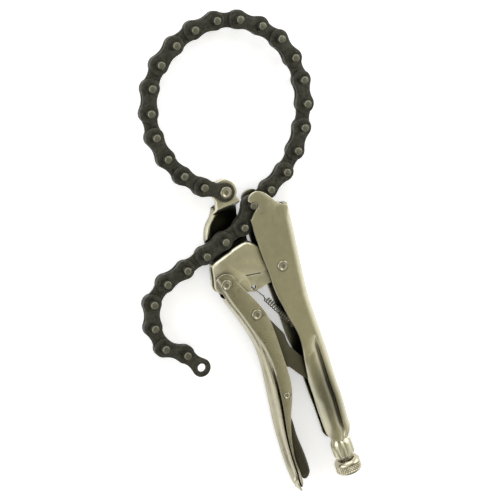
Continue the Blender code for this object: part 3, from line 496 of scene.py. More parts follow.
# Knurled knob: a turned steel cap, diamond-knurled round its rim, smooth on the shoulder that faces
# the handle, and nickel plated like it.
KNOB_RADIUS = 9.3
KNOB_LENGTH = 10.8
# Painted shade darkens the knurl's grooves by ambient occlusion over a short reach.
knob_nickel = plated_steel("knob nickel plate", (0.50, 0.46, 0.34), (0.03, 0.027, 0.02), 0.22, recess_shade=0.97, grain=0.5, reach=1.6)
rows = []
KNURL_TURNS = 30
profile = [(0.15, 4.4), (0.0, 5.0), (0.0, 5.8), (0.3, 6.9), (0.9, 7.9), (1.8, 8.7), (2.6, 9.15), (3.2, 9.25)]
count = 336
for depth, radius in profile:
    ring_points = []
    for i in range(count):
        angle = 2 * math.pi * i / count
        ring_points.append(Vector((SCREW_X + radius * math.cos(angle), KNOB_TOP - depth, radius * math.sin(angle))))
    rows.append(ring_points)
band = 40
for k in range(band + 1):
    depth = 3.3 + 5.0 * k / band
    row = []
    for i in range(count):
        angle = 2 * math.pi * i / count
        lean = depth / (KNOB_RADIUS) * 0.85
        left = abs(((angle + lean) * KNURL_TURNS / (2 * math.pi)) % 1.0 - 0.5) * 2
        right = abs(((angle - lean) * KNURL_TURNS / (2 * math.pi)) % 1.0 - 0.5) * 2
        fade = ease(k, 0, 3) * ease(band - k, 0, 3)
        radius = KNOB_RADIUS - 0.05 - 0.62 * fade * (1 - min(left, right))
        row.append(Vector((SCREW_X + radius * math.cos(angle), KNOB_TOP - depth, radius * math.sin(angle))))
    rows.append(row)
for depth, radius in ((8.5, 9.15), (9.2, 8.9), (9.9, 8.4), (10.4, 7.5), (KNOB_LENGTH, 6.4), (KNOB_LENGTH, 3.0), (10.6, 2.0), (10.6, 0.4)):
    ring_points = []
    for i in range(count):
        angle = 2 * math.pi * i / count
        ring_points.append(Vector((SCREW_X + radius * math.cos(angle), KNOB_TOP - depth, radius * math.sin(angle))))
    rows.append(ring_points)
new_piece("knob_knurled", skin_bm(rows), "knob", knob_nickel, ["knurled_knob"], smooth=30)

# Jaw, far cheek: a plate pressed in two steps, so that its neck passes behind the chain and its ear
# stands between the chain's first plates. Its left edge is turned up to stiffen the neck.
CHAIN_FACE = 8.3
JAW_HALF = 4.6
JAW_SHEET = 2.2
EAR = Vector(JOINTS["chain_hinge_00"]["pos_m"]) / MM - MAIN_RIVET / MM
LEVER_PIVOT = Vector(JOINTS["lever_pivot"]["pos_m"]) / MM - MAIN_RIVET / MM
# The jaw's nickel is the handle's nickel painted lighter, as painted light on its lit faces.
jaw_steel = plated_steel("jaw nickel plate", (0.78, 0.74, 0.56), NICKEL_SHADOW, 0.31)
# The neck's patch of painted shade stands for the shadow of the chain and the ear over the pressed-down neck.
neck_steel = plated_steel("jaw neck nickel plate", (0.78, 0.74, 0.56), NICKEL_SHADOW, 0.31, painted_shade_patch=((-22.5, 34.0, -9.0), 14.5, (1, 1, 1), 0.85, 0.0))
jaw_top = [(-45.1, 19.6), (-34.8, 21.9), (-27.7, 24.0), (-18.0, 25.4), (-14.5, 23.5)]
jaw_bottom = ring((0, 0), 8.0, 100, -95, 18)
jaw_bottom += [(-12.9, -7.9), (-19.9, -9.0), (-23.1, -9.4), (-26.5, -8.0)]
jaw_bottom += ring(LEVER_PIVOT, 6.8, -70, -205, 16) + [(-46.2, 11.5), (-45.7, 14.2)]


def plate_levels(x, y):
    drop = ease(y - 0.2 * (x + 31.65), 23.26, 27.06)
    rise = ease(y, 46.1, 52.3)
    low = -JAW_HALF + (JAW_HALF - CHAIN_FACE - JAW_SHEET) * drop
    low += (CHAIN_FACE + JAW_SHEET - 2.4) * rise
    high = -JAW_HALF + JAW_SHEET + (JAW_HALF - JAW_SHEET - CHAIN_FACE) * drop
    return low, high + (CHAIN_FACE + 2.4) * rise


neck_left = [(-28.4, 53.0), (-29.2, 50.8), (-32.3, 46.1), (-36.4, 43.0), (-38.8, 39.0), (-40.8, 33.5), (-41.2, 29.0), (-42.5, 21.5)]
outline = rounded_line([(-14.5, 22.5), (-14.0, 32.0), (-14.3, 40.0), (-12.6, 46.0), (-12.2, 52.0)], 3.0)
outline += ring(EAR, 8.3, -38, 208, 26) + rounded_line(neck_left, 3.0) + list(reversed(jaw_bottom))
hole = [ring((0, 0), 3.1, 0, 345, 23), ring(LEVER_PIVOT, 3.1, 0, 345, 23), ring(EAR, 2.6, 0, 345, 23)]
bm = plate_bm([outline, *hole], 0.0, 1.0)
for k in range(15):
    for point, normal in (
        ((-31.65, 23.26 + 3.8 * k / 14, 0), (-0.2, 1, 0)), ((0, 46.1 + 6.2 * k / 14, 0), (0, 1, 0)),
    ):
        bmesh.ops.bisect_plane(bm, geom=bm.verts[:] + bm.edges[:] + bm.faces[:], plane_co=point, plane_no=normal, dist=1e-5)
for vert in bm.verts:
    low, high = plate_levels(vert.co.x, vert.co.y)
    vert.co.z = high if vert.co.z > 0.5 else low
jaw_back = new_piece("jaw_back_pressing", bm, "jaw", neck_steel, ["jaw_back_plate"])
rows = []
for x, y in rounded_line([(-28.9, 51.6), (-29.5, 50.4), (-32.4, 46.0), (-36.5, 42.8), (-39.0, 38.8), (-40.9, 33.4), (-41.0, 31.0)], 3.0, 6):
    share = ease(y, 31.0, 35.0) * (1 - ease(y, 47.0, 51.6))
    top = -10.4 + 7.0 * share
    rows.append([Vector((x + dx, y + dy, z)) for dx, dy, z in (
        (0, 0, -10.4), (0, 0, top - 0.8), (0.4, 0.2, top), (1.9, 0.6, top), (2.3, 0.8, top - 0.7), (2.3, 0.8, -8.6),
        (3.4, 1.2, -8.4), (3.4, 1.2, -10.4))])
new_piece("jaw_neck_flange", skin_bm(rows), "jaw", jaw_steel)

# Jaw, near cheek: its top is folded over into the rounded saddle that the chain's tail lies on. A
# slit sets off the tab that holds the spring.
SADDLE = 2.6
sections = [(-2.1, 0.0), (0.6, 0.0)]
for k in range(9):
    angle = math.radians(90 * k / 8)
    sections.append((JAW_HALF - SADDLE + SADDLE * math.sin(angle), SADDLE * (1 - math.cos(angle))))
saddle_line = rounded_line(jaw_top, 2.5, 5)
rows = []
for z, inset in sections:
    rows.append([Vector((x, y - inset, z)) for x, y in saddle_line] + [Vector((x, y, z)) for x, y in jaw_bottom])
jaw_front = new_piece("jaw_front_pressing", skin_bm(rows), "jaw", jaw_steel, ["jaw_front_shell"])
hollow = [(-60, 14.4), (-34.8, 19.7), (-27.7, 21.8), (-18.0, 23.2), (-13.2, 21.3), (20, 10), (20, -20), (-60, -20)]
cut(jaw_front, "DIFFERENCE", plate_bm([hollow], -12, JAW_HALF - JAW_SHEET))
for loop in (
    [(-25.6, 2.95), (-15.4, 0.75), (-15.4, 1.45), (-25.6, 3.65)],
    ring((-23.1, -6.1), 1.75, 0, 345, 23),
    ring((0, 0), 3.1, 0, 345, 23),
    ring(LEVER_PIVOT, 3.1, 0, 345, 23),
):
    cut(jaw_front, "DIFFERENCE", plate_bm([loop], 0.5, 12))
cut(jaw_back, "DIFFERENCE", plate_bm([ring((-20.3, -9.0), 2.3, 0, 345, 23)], -12, -0.5))
soften(jaw_back, 0.35, 2, 50)
soften(jaw_front, 0.22, 2, 50)

# Lever: the long pressed hand lever. Its back is rounded at the pivots and flares lower down into
# two rolled lips with a groove between them.
LEVER_BACK = (
    (-154.5, -39.2), (-150.0, -40.0), (-141.9, -40.0), (-126.7, -39.7), (-107.8, -38.6), (-91.2, -36.6), (-74.3, -34.6),
    (-63.6, -33.7), (-53.7, -33.5), (-42.9, -34.5), (-24.9, -38.9), (-8.7, -43.9), (4.3, -46.6), (12.0, -48.4),
)
# The lever's nickel is the handle's nickel painted darker, as painted shade.
lever_steel = plated_steel("lever nickel plate", (0.53, 0.50, 0.37), NICKEL_SHADOW, 0.27)


def lever_row(y):
    """Across the lever's outside from the near front edge round the back to the far one."""
    back = curve_at(LEVER_BACK, y)
    flare = ease(-y, 30.0, 86.0)
    tip = ease(-y, 138.0, 154.5)
    wide = 7.1 + 1.7 * flare - 3.0 * tip
    groove = (2.9 * ease(-y, 36.0, 80.0)) * (1 - ease(-y, 147.5, 151.5))
    narrow = 1 - 0.42 * ease(-y, 88.0, 128.0)
    half = [(26.0, 7.1 - 3.0 * tip), (5.4 * narrow + 0.9, 7.1 - 3.0 * tip)]
    plain = ring((4.2, 7.1 - 4.2), 4.2, 90, 180, 12)
    lip = [(5.1, 6.95), (4.85, 6.4), (4.55, 5.7), (4.2, 5.2), (3.8, 5.3), (3.45, 6.1), (3.1, 7.3), (2.6, 8.3), (1.9, 8.8),
           (0.9, 8.4), (0.2, 7.6), (0.0, 6.8), (0.5, 5.9)]
    for (x0, z0), (x1, z1) in zip(plain, lip):
        z1 = 7.1 + (z1 - 7.1) * ((wide - 7.1) / 1.7 if wide > 7.1 and z1 > 7.1 else 1.0)
        half.append((x0 + (x1 * narrow - x0) * flare, z0 + (min(z1, z1 - 3.0 * tip) - z0) * flare))
    last_x, last_z = half[-1]
    for k in range(1, 7):
        share = k / 6
        z = last_z * (1 - share)
        half.append((last_x * (1 - share) + groove * ease(share, 0.0, 0.55), z))
    row = [(back + x, z) for x, z in half]
    return row + [(x, -z) for x, z in reversed(row[:-1])]


rows = []
for k in range(121):
    y = 12.5 - (12.5 + 154.8) * k / 120
    rows.append([Vector((x, y, z)) for x, z in lever_row(y)])
lever = new_piece("lever_pressing", skin_bm(rows), "lever", lever_steel, ["lever"])
inner = []
for y in (-106.0, -104.5, -91.2, -74.3, -63.6, -53.7, -42.9, -24.9, -8.7, -5.0, 20.0):
    groove = 2.9 * ease(-y, 36.0, 80.0)
    web = curve_at(LEVER_BACK, y) + 2.2 + groove
    if y > -5.5:
        web = curve_at(LEVER_BACK, y) - 12.0 * ease(y, -5.2, -3.5)
    near = [(14.0, 4.9), (web + 1.4, 4.9), (web + 0.4, 4.4), (web, 3.4)]
    inner.append([Vector((x, y, z)) for x, z in near + [(x, -z) for x, z in reversed(near)]])
cut(lever, "DIFFERENCE", skin_bm(inner))
cut(lever, "DIFFERENCE", plate_bm([[(-60, -3.8), (-20, -3.8), (-20, 22), (-60, 22)]], -4.9, 4.9))
front = [
    (-38.5, -154.9), (-36.6, -153.6), (-35.2, -150.2), (-35.4, -142.0), (-36.2, -131.7), (-35.3, -125.0), (-33.8, -117.0),
    (-30.8, -106.6), (-28.2, -99.2), (-24.5, -91.1), (-21.9, -84.0), (-20.6, -76.7), (-20.2, -68.0), (-20.1, -58.3),
    (-20.0, -44.2), (-20.3, -30.8), (-22.7, -21.0), (-27.9, -8.8), (-33.6, 2.4),
]
smooth_front = rounded_line(front, 4.0, 4)
silhouette = smooth_front + ring(LEVER_PIVOT, 7.5, 8, 200, 22) + [(-60.0, -2.0), (-60.0, -154.9)]
cut(lever, "INTERSECT", plate_bm([silhouette], -14, 14))
for centre, radius in ((LEVER_PIVOT, 3.1), ((-27.9, -23.9), 3.1), ((-26.7, -85.6), 1.7)):
    cut(lever, "DIFFERENCE", plate_bm([ring(centre, radius, 0, 345, 23)], -14, 14))
soften(lever, 0.35, 2, 50)

# Toggle link: a flat, bowed bar of dull steel between the lever and the screw's tip.
link_steel = plated_steel("link dull plate", (0.155, 0.145, 0.105), (0.012, 0.011, 0.008), 0.33)
bar = ring((-27.9, -23.9), 5.8, 35, 215, 16)
bar += rounded_line([
    (-32.2, -34.0), (-29.0, -50.0), (-22.5, -62.0), (-19.2, -68.0), (-16.9, -69.1), (-13.8, -74.1), (-10.5, -79.5), (-6.0, -85.0),
], 4.0)
bar += ring((0.6, -86.4), 4.2, 215, 370, 14)
bar += rounded_line([
    (-3.0, -72.0), (-8.5, -62.0), (-12.2, -56.0), (-13.0, -50.0), (-12.9, -45.5), (-16.3, -38.4), (-19.0, -32.6),
], 4.0)
toggle = new_piece("toggle_bar", plate_bm([bar, ring((-27.9, -23.9), 3.1, 0, 345, 23)], -3.2, 3.2), "toggle", link_steel,
                   ["toggle_link"])
soften(toggle, 0.7, 3, 50)

# Release lever: a small channel pressing that pivots in the lever, with a long spoon-shaped tail.
# The release lever's near-black colour is painted shade: it stands for the shadow that lies on the pressing inside the
# lever.
trigger_steel = plated_steel("trigger plate painted dark as shade", (0.10, 0.092, 0.07), (0.012, 0.011, 0.008), 0.27)
TAIL = (
    (-149.3, -30.6, -32.2, 2.4), (-148.6, -29.4, -33.4, 3.1), (-147.8, -28.7, -34.0, 3.6), (-146.4, -27.9, -34.6, 4.0),
    (-145.0, -27.4, -34.9, 4.2), (-138.5, -27.0, -35.2, 4.3), (-127.8, -27.2, -34.7, 4.3), (-117.5, -27.9, -32.8, 4.3),
    (-107.7, -27.7, -29.8, 4.3), (-99.5, -27.7, -30.2, 4.3), (-90.0, -24.8, -29.8, 4.3), (-80.0, -22.2, -29.0, 4.3),
    (-74.0, -21.4, -27.6, 4.3), (-69.0, -20.3, -25.0, 4.3), (-66.6, -20.9, -23.6, 4.3), (-65.9, -21.7, -22.3, 4.3),
)
right = [(y, r) for y, r, l, h in TAIL]
left = [(y, l) for y, r, l, h in TAIL]
reach = [(y, h) for y, r, l, h in TAIL]
rows, hollow_rows = [], []
for k in range(85):
    y = -149.3 + (149.3 - 65.9) * k / 84
    r, l, h = curve_at(right, y), curve_at(left, y), curve_at(reach, y)
    bend = min(2.2, (r - l) * 0.6, h * 0.8)
    near = [(l, h), (l + (r - bend - l) * 0.5, h)] + ring((r - bend, h - bend), bend, 90, 0, 6)
    rows.append([Vector((x, y, z)) for x, z in near + [(x, -z) for x, z in reversed(near)]])
    if -146.6 < y < -72.0:
        wall = 1.4
        near = [(-50.0, h - wall), (r - wall - 0.6, h - wall), (r - wall, h - wall - 0.6)]
        hollow_rows.append([Vector((x, y, z)) for x, z in near + [(x, -z) for x, z in reversed(near)]])
trigger = new_piece("release_trigger", skin_bm(rows), "release", trigger_steel, ["release_lever"])
cut(trigger, "DIFFERENCE", skin_bm(hollow_rows))
cut(trigger, "DIFFERENCE", plate_bm([ring((-26.7, -85.6), 1.7, 0, 345, 23)], -12, 12))
soften(trigger, 0.3, 2, 50)

# Rivets: cold-headed steel pins with a low dished head at both ends, made by one node tree and
# fitted to each joint's width.
rivet_steel = turned_steel("rivet steel", (0.42, 0.395, 0.29), 0.22)


def tree_input(tree, name, kind, value):
    socket = tree.interface.new_socket(name=name, in_out="INPUT", socket_type=kind)
    socket.default_value = value
    return socket


def made_by(tree, values, name):
    """Runs a node tree with its inputs set, and keeps the result as a plain mesh."""
    holder = bpy.data.objects.new(name, bpy.data.meshes.new(name))
    bpy.context.scene.collection.objects.link(holder)
    modifier = holder.modifiers.new(name, "NODES")
    modifier.node_group = tree
    for item in tree.interface.items_tree:
        if item.item_type == "SOCKET" and item.in_out == "INPUT" and item.name in values:
            modifier[item.identifier] = values[item.name]
    bpy.context.view_layer.update()
    made = bpy.data.meshes.new_from_object(holder.evaluated_get(bpy.context.evaluated_depsgraph_get()))
    bpy.data.objects.remove(holder, do_unlink=True)
    return made


def put_mesh(name, mesh, turn, body, nodes=(), smooth=40):
    """Places a mesh drawn in metres, with the place kept in the mesh."""
    mesh.transform(turn)
    mesh.shade_smooth()
    mesh.set_sharp_from_angle(angle=math.radians(smooth))
    piece = bpy.data.objects.new(name, mesh)
    bpy.context.scene.collection.objects.link(piece)
    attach(piece, body)
    if nodes:
        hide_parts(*nodes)
    return piece


HEAD_PROFILE = ((0.0, 0.42), (0.30, 0.40), (0.52, 0.52), (0.66, 0.86), (0.80, 1.0), (0.92, 0.88), (1.0, 0.55), (1.0, 0.0))


def head_mesh(name, profile, sides, material):
    """A rivet head of radius and height 1, turned about Z with its seat at 0."""
    bm = bmesh.new()
    rings = []
    for radius, height in profile:
        if radius == 0:
            rings.append([bm.verts.new((0, 0, height))])
        else:
            rings.append([bm.verts.new((x, y, height)) for x, y in ring((0, 0), radius, 0, 360 - 360 / sides, sides - 1)])
    for a, b in zip(rings, rings[1:]):
        for i in range(sides):
            j = (i + 1) % sides
            bm.faces.new(list(dict.fromkeys([a[i % len(a)], a[j % len(a)], b[j % len(b)], b[i % len(b)]])))
    bm.faces.new(rings[-1])
    bmesh.ops.recalc_face_normals(bm, faces=bm.faces)
    mesh = bpy.data.meshes.new(name)
    bm.to_mesh(mesh)
    bm.free()
    mesh.materials.append(material)
    holder = bpy.data.objects.new(name, mesh)
    bpy.context.scene.collection.objects.link(holder)
    holder.hide_render = True
    return holder


dished_head = head_mesh("dished_head", HEAD_PROFILE, 40, rivet_steel)

rivet_tree = bpy.data.node_groups.new("rivet", "GeometryNodeTree")
rivet_tree.interface.new_socket(name="Geometry", in_out="OUTPUT", socket_type="NodeSocketGeometry")
tree_input(rivet_tree, "Half grip", "NodeSocketFloat", 0.0075)
tree_input(rivet_tree, "Head radius", "NodeSocketFloat", 0.0037)
tree_input(rivet_tree, "Head height", "NodeSocketFloat", 0.0011)
tree_input(rivet_tree, "Shank radius", "NodeSocketFloat", 0.003)
nodes = rivet_tree.nodes
given = nodes.new("NodeGroupInput")
result = nodes.new("NodeGroupOutput")
head_info = nodes.new("GeometryNodeObjectInfo")
head_info.inputs["Object"].default_value = dished_head
shank = nodes.new("GeometryNodeMeshCylinder")
shank.inputs["Vertices"].default_value = 28
double = nodes.new("ShaderNodeMath")
double.operation = "MULTIPLY"
double.inputs[1].default_value = 2.0
rivet_tree.links.new(given.outputs["Half grip"], double.inputs[0])
rivet_tree.links.new(double.outputs[0], shank.inputs["Depth"])
rivet_tree.links.new(given.outputs["Shank radius"], shank.inputs["Radius"])
head_size = nodes.new("ShaderNodeCombineXYZ")
for axis, name in (("X", "Head radius"), ("Y", "Head radius"), ("Z", "Head height")):
    rivet_tree.links.new(given.outputs[name], head_size.inputs[axis])
joined = nodes.new("GeometryNodeJoinGeometry")
rivet_tree.links.new(shank.outputs["Mesh"], joined.inputs["Geometry"])
for side in (1, -1):
    shift = nodes.new("ShaderNodeCombineXYZ")
    signed = nodes.new("ShaderNodeMath")
    signed.operation = "MULTIPLY"
    signed.inputs[1].default_value = side
    rivet_tree.links.new(given.outputs["Half grip"], signed.inputs[0])
    rivet_tree.links.new(signed.outputs[0], shift.inputs["Z"])
    point = nodes.new("GeometryNodePoints")
    rivet_tree.links.new(shift.outputs[0], point.inputs["Position"])
    stamp = nodes.new("GeometryNodeInstanceOnPoints")
    rivet_tree.links.new(point.outputs[0], stamp.inputs["Points"])
    rivet_tree.links.new(head_info.outputs["Geometry"], stamp.inputs["Instance"])
    rivet_tree.links.new(head_size.outputs[0], stamp.inputs["Scale"])
    if side < 0:
        stamp.inputs["Rotation"].default_value = (math.pi, 0, 0)
    rivet_tree.links.new(stamp.outputs[0], joined.inputs["Geometry"])
real = nodes.new("GeometryNodeRealizeInstances")
finish = nodes.new("GeometryNodeSetMaterial")
finish.inputs["Material"].default_value = rivet_steel
rivet_tree.links.new(joined.outputs[0], real.inputs[0])
rivet_tree.links.new(real.outputs[0], finish.inputs["Geometry"])
rivet_tree.links.new(finish.outputs[0], result.inputs[0])

RIVETS = (
    ("main_rivet", "handle", (0.0, 0.0), 7.4, 3.75, 1.15, 3.0),
    ("lever_rivet", "lever", LEVER_PIVOT, 7.1, 3.75, 1.15, 3.0),
    ("link_rivet", "lever", (-27.9, -23.9), 7.1, 3.75, 1.15, 3.0),
    ("release_rivet", "lever", (-26.7, -85.6), 7.1, 2.3, 0.95, 1.6),
    ("chain_anchor_rivet", "jaw", EAR, 4.6, 3.95, 1.15, 2.54),
)
for name, body, centre, grip, head, height, shank_radius in RIVETS:
    mesh = made_by(rivet_tree, {
        "Half grip": grip * MM, "Head radius": head * MM, "Head height": height * MM, "Shank radius": shank_radius * MM,
    }, name)
    place = Matrix.Translation(MAIN_RIVET + Vector((centre[0], centre[1], 0)) * MM)
    put_mesh(name + "_headed", mesh, place, body, [name])

# Tension spring: close-wound hard-drawn wire, hooked through the jaw's tab at one end and round the
# peg inside the handle at the other.
spring_wire = turned_steel("spring wire", (0.26, 0.25, 0.19), 0.22)
COIL_RADIUS = 1.78
WIRE = 0.40
spring_start, spring_end = Vector((-16.2, -18.6)), Vector((-5.6, -39.6))
run = spring_end - spring_start

spring_tree = bpy.data.node_groups.new("coil spring", "GeometryNodeTree")
spring_tree.interface.new_socket(name="Geometry", in_out="OUTPUT", socket_type="NodeSocketGeometry")
tree_input(spring_tree, "Turns", "NodeSocketFloat", 15.0)
tree_input(spring_tree, "Length", "NodeSocketFloat", 0.023)
tree_input(spring_tree, "Coil radius", "NodeSocketFloat", 0.00145)
tree_input(spring_tree, "Wire radius", "NodeSocketFloat", 0.00036)
nodes = spring_tree.nodes
given, result = nodes.new("NodeGroupInput"), nodes.new("NodeGroupOutput")
helix = nodes.new("GeometryNodeCurveSpiral")
helix.inputs["Resolution"].default_value = 28
section = nodes.new("GeometryNodeCurvePrimitiveCircle")
section.inputs["Resolution"].default_value = 10
wire = nodes.new("GeometryNodeCurveToMesh")
wire.inputs["Fill Caps"].default_value = True
real, finish = nodes.new("GeometryNodeRealizeInstances"), nodes.new("GeometryNodeSetMaterial")
finish.inputs["Material"].default_value = spring_wire
for name, socket in (("Turns", "Rotations"), ("Length", "Height"), ("Coil radius", "Start Radius"), ("Coil radius", "End Radius")):
    spring_tree.links.new(given.outputs[name], helix.inputs[socket])
spring_tree.links.new(given.outputs["Wire radius"], section.inputs["Radius"])
spring_tree.links.new(helix.outputs[0], wire.inputs["Curve"])
spring_tree.links.new(section.outputs[0], wire.inputs["Profile Curve"])
spring_tree.links.new(wire.outputs[0], real.inputs[0])
spring_tree.links.new(real.outputs[0], finish.inputs["Geometry"])
spring_tree.links.new(finish.outputs[0], result.inputs[0])
coil = made_by(spring_tree, {"Turns": 12.0, "Length": run.length * MM, "Coil radius": COIL_RADIUS * MM, "Wire radius": WIRE * MM}, "coil")
lie_down = Matrix.Rotation(math.atan2(run.y, run.x), 4, "Z") @ Matrix.Rotation(math.radians(90), 4, "Y")
coil_place = Matrix.Translation(MAIN_RIVET + Vector((spring_start.x, spring_start.y, 0)) * MM) @ lie_down


def bent_wire(points, radius, sides=8):
    """A round wire through a line of points."""
    bm = bmesh.new()
    rings = []
    for i, point in enumerate(points):
        ahead = points[min(i + 1, len(points) - 1)] - points[max(i - 1, 0)]
        turn = ahead.to_track_quat("Z", "Y").to_matrix()
        rings.append([bm.verts.new(point + turn @ Vector((x, y, 0))) for x, y in ring((0, 0), radius, 0, 360 - 360 / sides, sides - 1)])
    for a, b in zip(rings, rings[1:]):
        best = min(range(sides), key=lambda s: (a[0].co - b[s].co).length)
        for i in range(sides):
            bm.faces.new((a[i], a[(i + 1) % sides], b[(i + 1 + best) % sides], b[(i + best) % sides]))
    bm.faces.new(rings[0])
    bm.faces.new(rings[-1])
    return bm


def wire_path(knots, steps=6):
    """A smooth line through the knots."""
    out = []
    padded = [knots[0], *knots, knots[-1]]
    for a, b, c, d in zip(padded, padded[1:], padded[2:], padded[3:]):
        for i in range(steps):
            t = i / steps
            out.append(0.5 * ((2 * b) + (c - a) * t + (2 * a - 5 * b + 4 * c - d) * t * t + (3 * b - a - 3 * c + d) * t**3))
    return out + [knots[-1]]


top_hook = wire_path([Vector(p) for p in (
    (-23.9, -6.2, 1.9), (-23.6, -6.6, 3.4), (-23.1, -7.3, 5.0), (-22.0, -9.2, 5.3), (-20.4, -11.8, 5.0), (-18.6, -14.6, 4.0),
    (-17.9, -16.4, 2.6), (-17.2, -18.0, 1.3), (-16.2, -19.0, 1.45), (-15.6, -18.6, 1.4))])
tail_hook = wire_path([Vector(p) for p in (
    (-5.9, -39.4, 1.4), (-5.0, -40.2, 1.2), (-3.6, -40.9, 0.6), (-2.5, -42.2, 0.4), (-2.5, -43.7, 0.4), (-3.6, -44.7, 0.4),
    (-5.1, -44.3, 0.4), (-5.6, -43.2, 0.4))])
for name, line in (("spring_top_hook", top_hook), ("spring_tail_hook", tail_hook)):
    hook = new_piece(name, bent_wire(line, WIRE), None, spring_wire)
    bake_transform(hook)
coil.transform(coil_place)
coil.shade_smooth()
spring = bpy.data.objects.new("tension_spring_coil", coil)
bpy.context.scene.collection.objects.link(spring)
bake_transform(spring)
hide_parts("tension_spring")

# Chain: stamped plates with long riveted pins, oil-blackened all over, the pins' ends rubbed back to
# dull steel. Outer links are two plates on two pins, and inner ones are a single plate between.
PITCH = 15.875
END_RADIUS = 6.35
WAIST = 4.7
PIN_RADIUS = 2.54
PIN_HALF = 7.9
PLATE_LEVELS = {"inner": (-0.9, 0.9), "outer": (1.15, 2.75), "anchor": (3.0, 4.6)}


def blackened_steel(name):
    """Oil-blackened steel: almost black, a little brown where it is rubbed, with a soft oily sheen."""
    material, shader, place, add, join = node_kit(name)
    shader.inputs["Metallic"].default_value = 0.55
    rub = add("ShaderNodeTexNoise", Scale=420.0, Detail=6.0, Roughness=0.7)
    film = add("ShaderNodeTexNoise", Scale=90.0, Detail=3.0)
    for texture in (rub, film):
        join(place.outputs["Object"], texture.inputs["Vector"])
    ramp = add("ShaderNodeValToRGB")
    ramp.color_ramp.elements[0].position = 0.35
    ramp.color_ramp.elements[0].color = (0.029, 0.029, 0.022, 1)
    ramp.color_ramp.elements[1].position = 0.78
    ramp.color_ramp.elements[1].color = (0.100, 0.096, 0.072, 1)
    join(rub.outputs["Fac"], ramp.inputs["Fac"])
    join(ramp.outputs["Color"], shader.inputs["Base Color"])
    gloss = add("ShaderNodeMapRange")
    gloss.inputs["To Min"].default_value = 0.34
    gloss.inputs["To Max"].default_value = 0.58
    join(film.outputs["Fac"], gloss.inputs["Value"])
    join(gloss.outputs["Result"], shader.inputs["Roughness"])
    edge = add("ShaderNodeBevel", samples=4)
    edge.inputs["Radius"].default_value = 0.0002
    bump = add("ShaderNodeBump")
    bump.inputs["Strength"].default_value = 0.25
    bump.inputs["Distance"].default_value = 0.0003
    join(rub.outputs["Fac"], bump.inputs["Height"])
    join(edge.outputs["Normal"], bump.inputs["Normal"])
    join(bump.outputs["Normal"], shader.inputs["Normal"])
    return material


chain_black = blackened_steel("blackened chain steel")
# Painted shade darkens the pins where the plates close round them.
pin_steel = plated_steel("rubbed pin steel", (0.20, 0.195, 0.145), (0.02, 0.02, 0.015), 0.40, recess_shade=0.6, grain=2.5)


def plate_outline():
    """A waisted link plate from the pin at 0 to the pin one pitch along X."""
    sweep = 112
    right = ring((PITCH, 0), END_RADIUS, -sweep, sweep, 22)
    left = ring((0, 0), END_RADIUS, 180 - sweep, 180 + sweep, 22)
    over, under = [], []
    x_left, y_side = left[0]
    x_right = right[-1][0]
    for i in range(1, 8):
        t = i / 8
        x = x_right + (x_left - x_right) * t
        dip = WAIST + (y_side - WAIST) * (abs(2 * t - 1) ** 1.8)
        over.append((x, dip))
        under.append((x_left + (x_right - x_left) * t, -dip))
    return right + over + left + under


def hidden_object(name, bm, material):
    bmesh.ops.recalc_face_normals(bm, faces=bm.faces)
    mesh = bpy.data.meshes.new(name)
    bm.to_mesh(mesh)
    bm.free()
    mesh.materials.append(material)
    holder = bpy.data.objects.new(name, mesh)
    bpy.context.scene.collection.objects.link(holder)
    holder.hide_render = True
    return holder


def soft_plate(name, low, high, hole_radius):
    """A stamped plate with rolled edges, in millimetres."""
    holes = [ring((x, 0), hole_radius, 0, 345, 23) for x in (0, PITCH)]
    holder = hidden_object(name, plate_bm([plate_outline(), *holes], low, high), chain_black)
    bevel = holder.modifiers.new("edges", "BEVEL")
    bevel.width = 0.32
    bevel.segments = 2
    bevel.limit_method = "ANGLE"
    bevel.angle_limit = math.radians(50)
    bake(holder)
    return holder


def pin_object():
    """A link pin with slightly domed, burred ends, in millimetres."""
    bm = bmesh.new()
    profile = [(-PIN_HALF, 0.0), (-PIN_HALF, PIN_RADIUS - 0.75), (-PIN_HALF + 0.12, PIN_RADIUS - 0.35), (-PIN_HALF + 0.4, PIN_RADIUS - 0.06),
               (-PIN_HALF + 0.8, PIN_RADIUS)]
    profile += [(-z, radius) for z, radius in reversed(profile)]
    rings = []
    sides = 24
    for z, radius in profile:
        if radius == 0:
            rings.append([bm.verts.new((0, 0, z))])
        else:
            rings.append([bm.verts.new((x, y, z)) for x, y in ring((0, 0), radius, 0, 345, 23)])
    for a, b in zip(rings, rings[1:]):
        for i in range(sides):
            j = (i + 1) % sides
            face = bm.faces.new(list(dict.fromkeys([a[i % len(a)], a[j % len(a)], b[j % len(b)], b[i % len(b)]])))
            face.material_index = 1 if all(abs(v.co.z) > PIN_HALF - 0.5 for v in face.verts) else 0
    holder = hidden_object("link_pin", bm, chain_black)
    holder.data.materials.append(pin_steel)
    return holder


inner_plate = soft_plate("inner_plate", -0.9, 0.9, 2.8)
outer_plate = soft_plate("outer_plate", 1.15, 2.75, 2.5)
anchor_plate = soft_plate("anchor_plate", 3.0, 4.6, 2.8)
link_pin = pin_object()

link_tree = bpy.data.node_groups.new("chain link", "GeometryNodeTree")
link_tree.interface.new_socket(name="Geometry", in_out="OUTPUT", socket_type="NodeSocketGeometry")
link_tree.interface.new_socket(name="Plate", in_out="INPUT", socket_type="NodeSocketObject")
link_tree.interface.new_socket(name="Pin", in_out="INPUT", socket_type="NodeSocketObject")
tree_input(link_tree, "Pitch", "NodeSocketFloat", PITCH)
tree_input(link_tree, "Near plate", "NodeSocketBool", True)
tree_input(link_tree, "Far plate", "NodeSocketBool", True)
tree_input(link_tree, "Pins", "NodeSocketBool", True)
nodes = link_tree.nodes
given, result = nodes.new("NodeGroupInput"), nodes.new("NodeGroupOutput")
plate_info, pin_info = nodes.new("GeometryNodeObjectInfo"), nodes.new("GeometryNodeObjectInfo")
link_tree.links.new(given.outputs["Plate"], plate_info.inputs["Object"])
link_tree.links.new(given.outputs["Pin"], pin_info.inputs["Object"])
joined = nodes.new("GeometryNodeJoinGeometry")
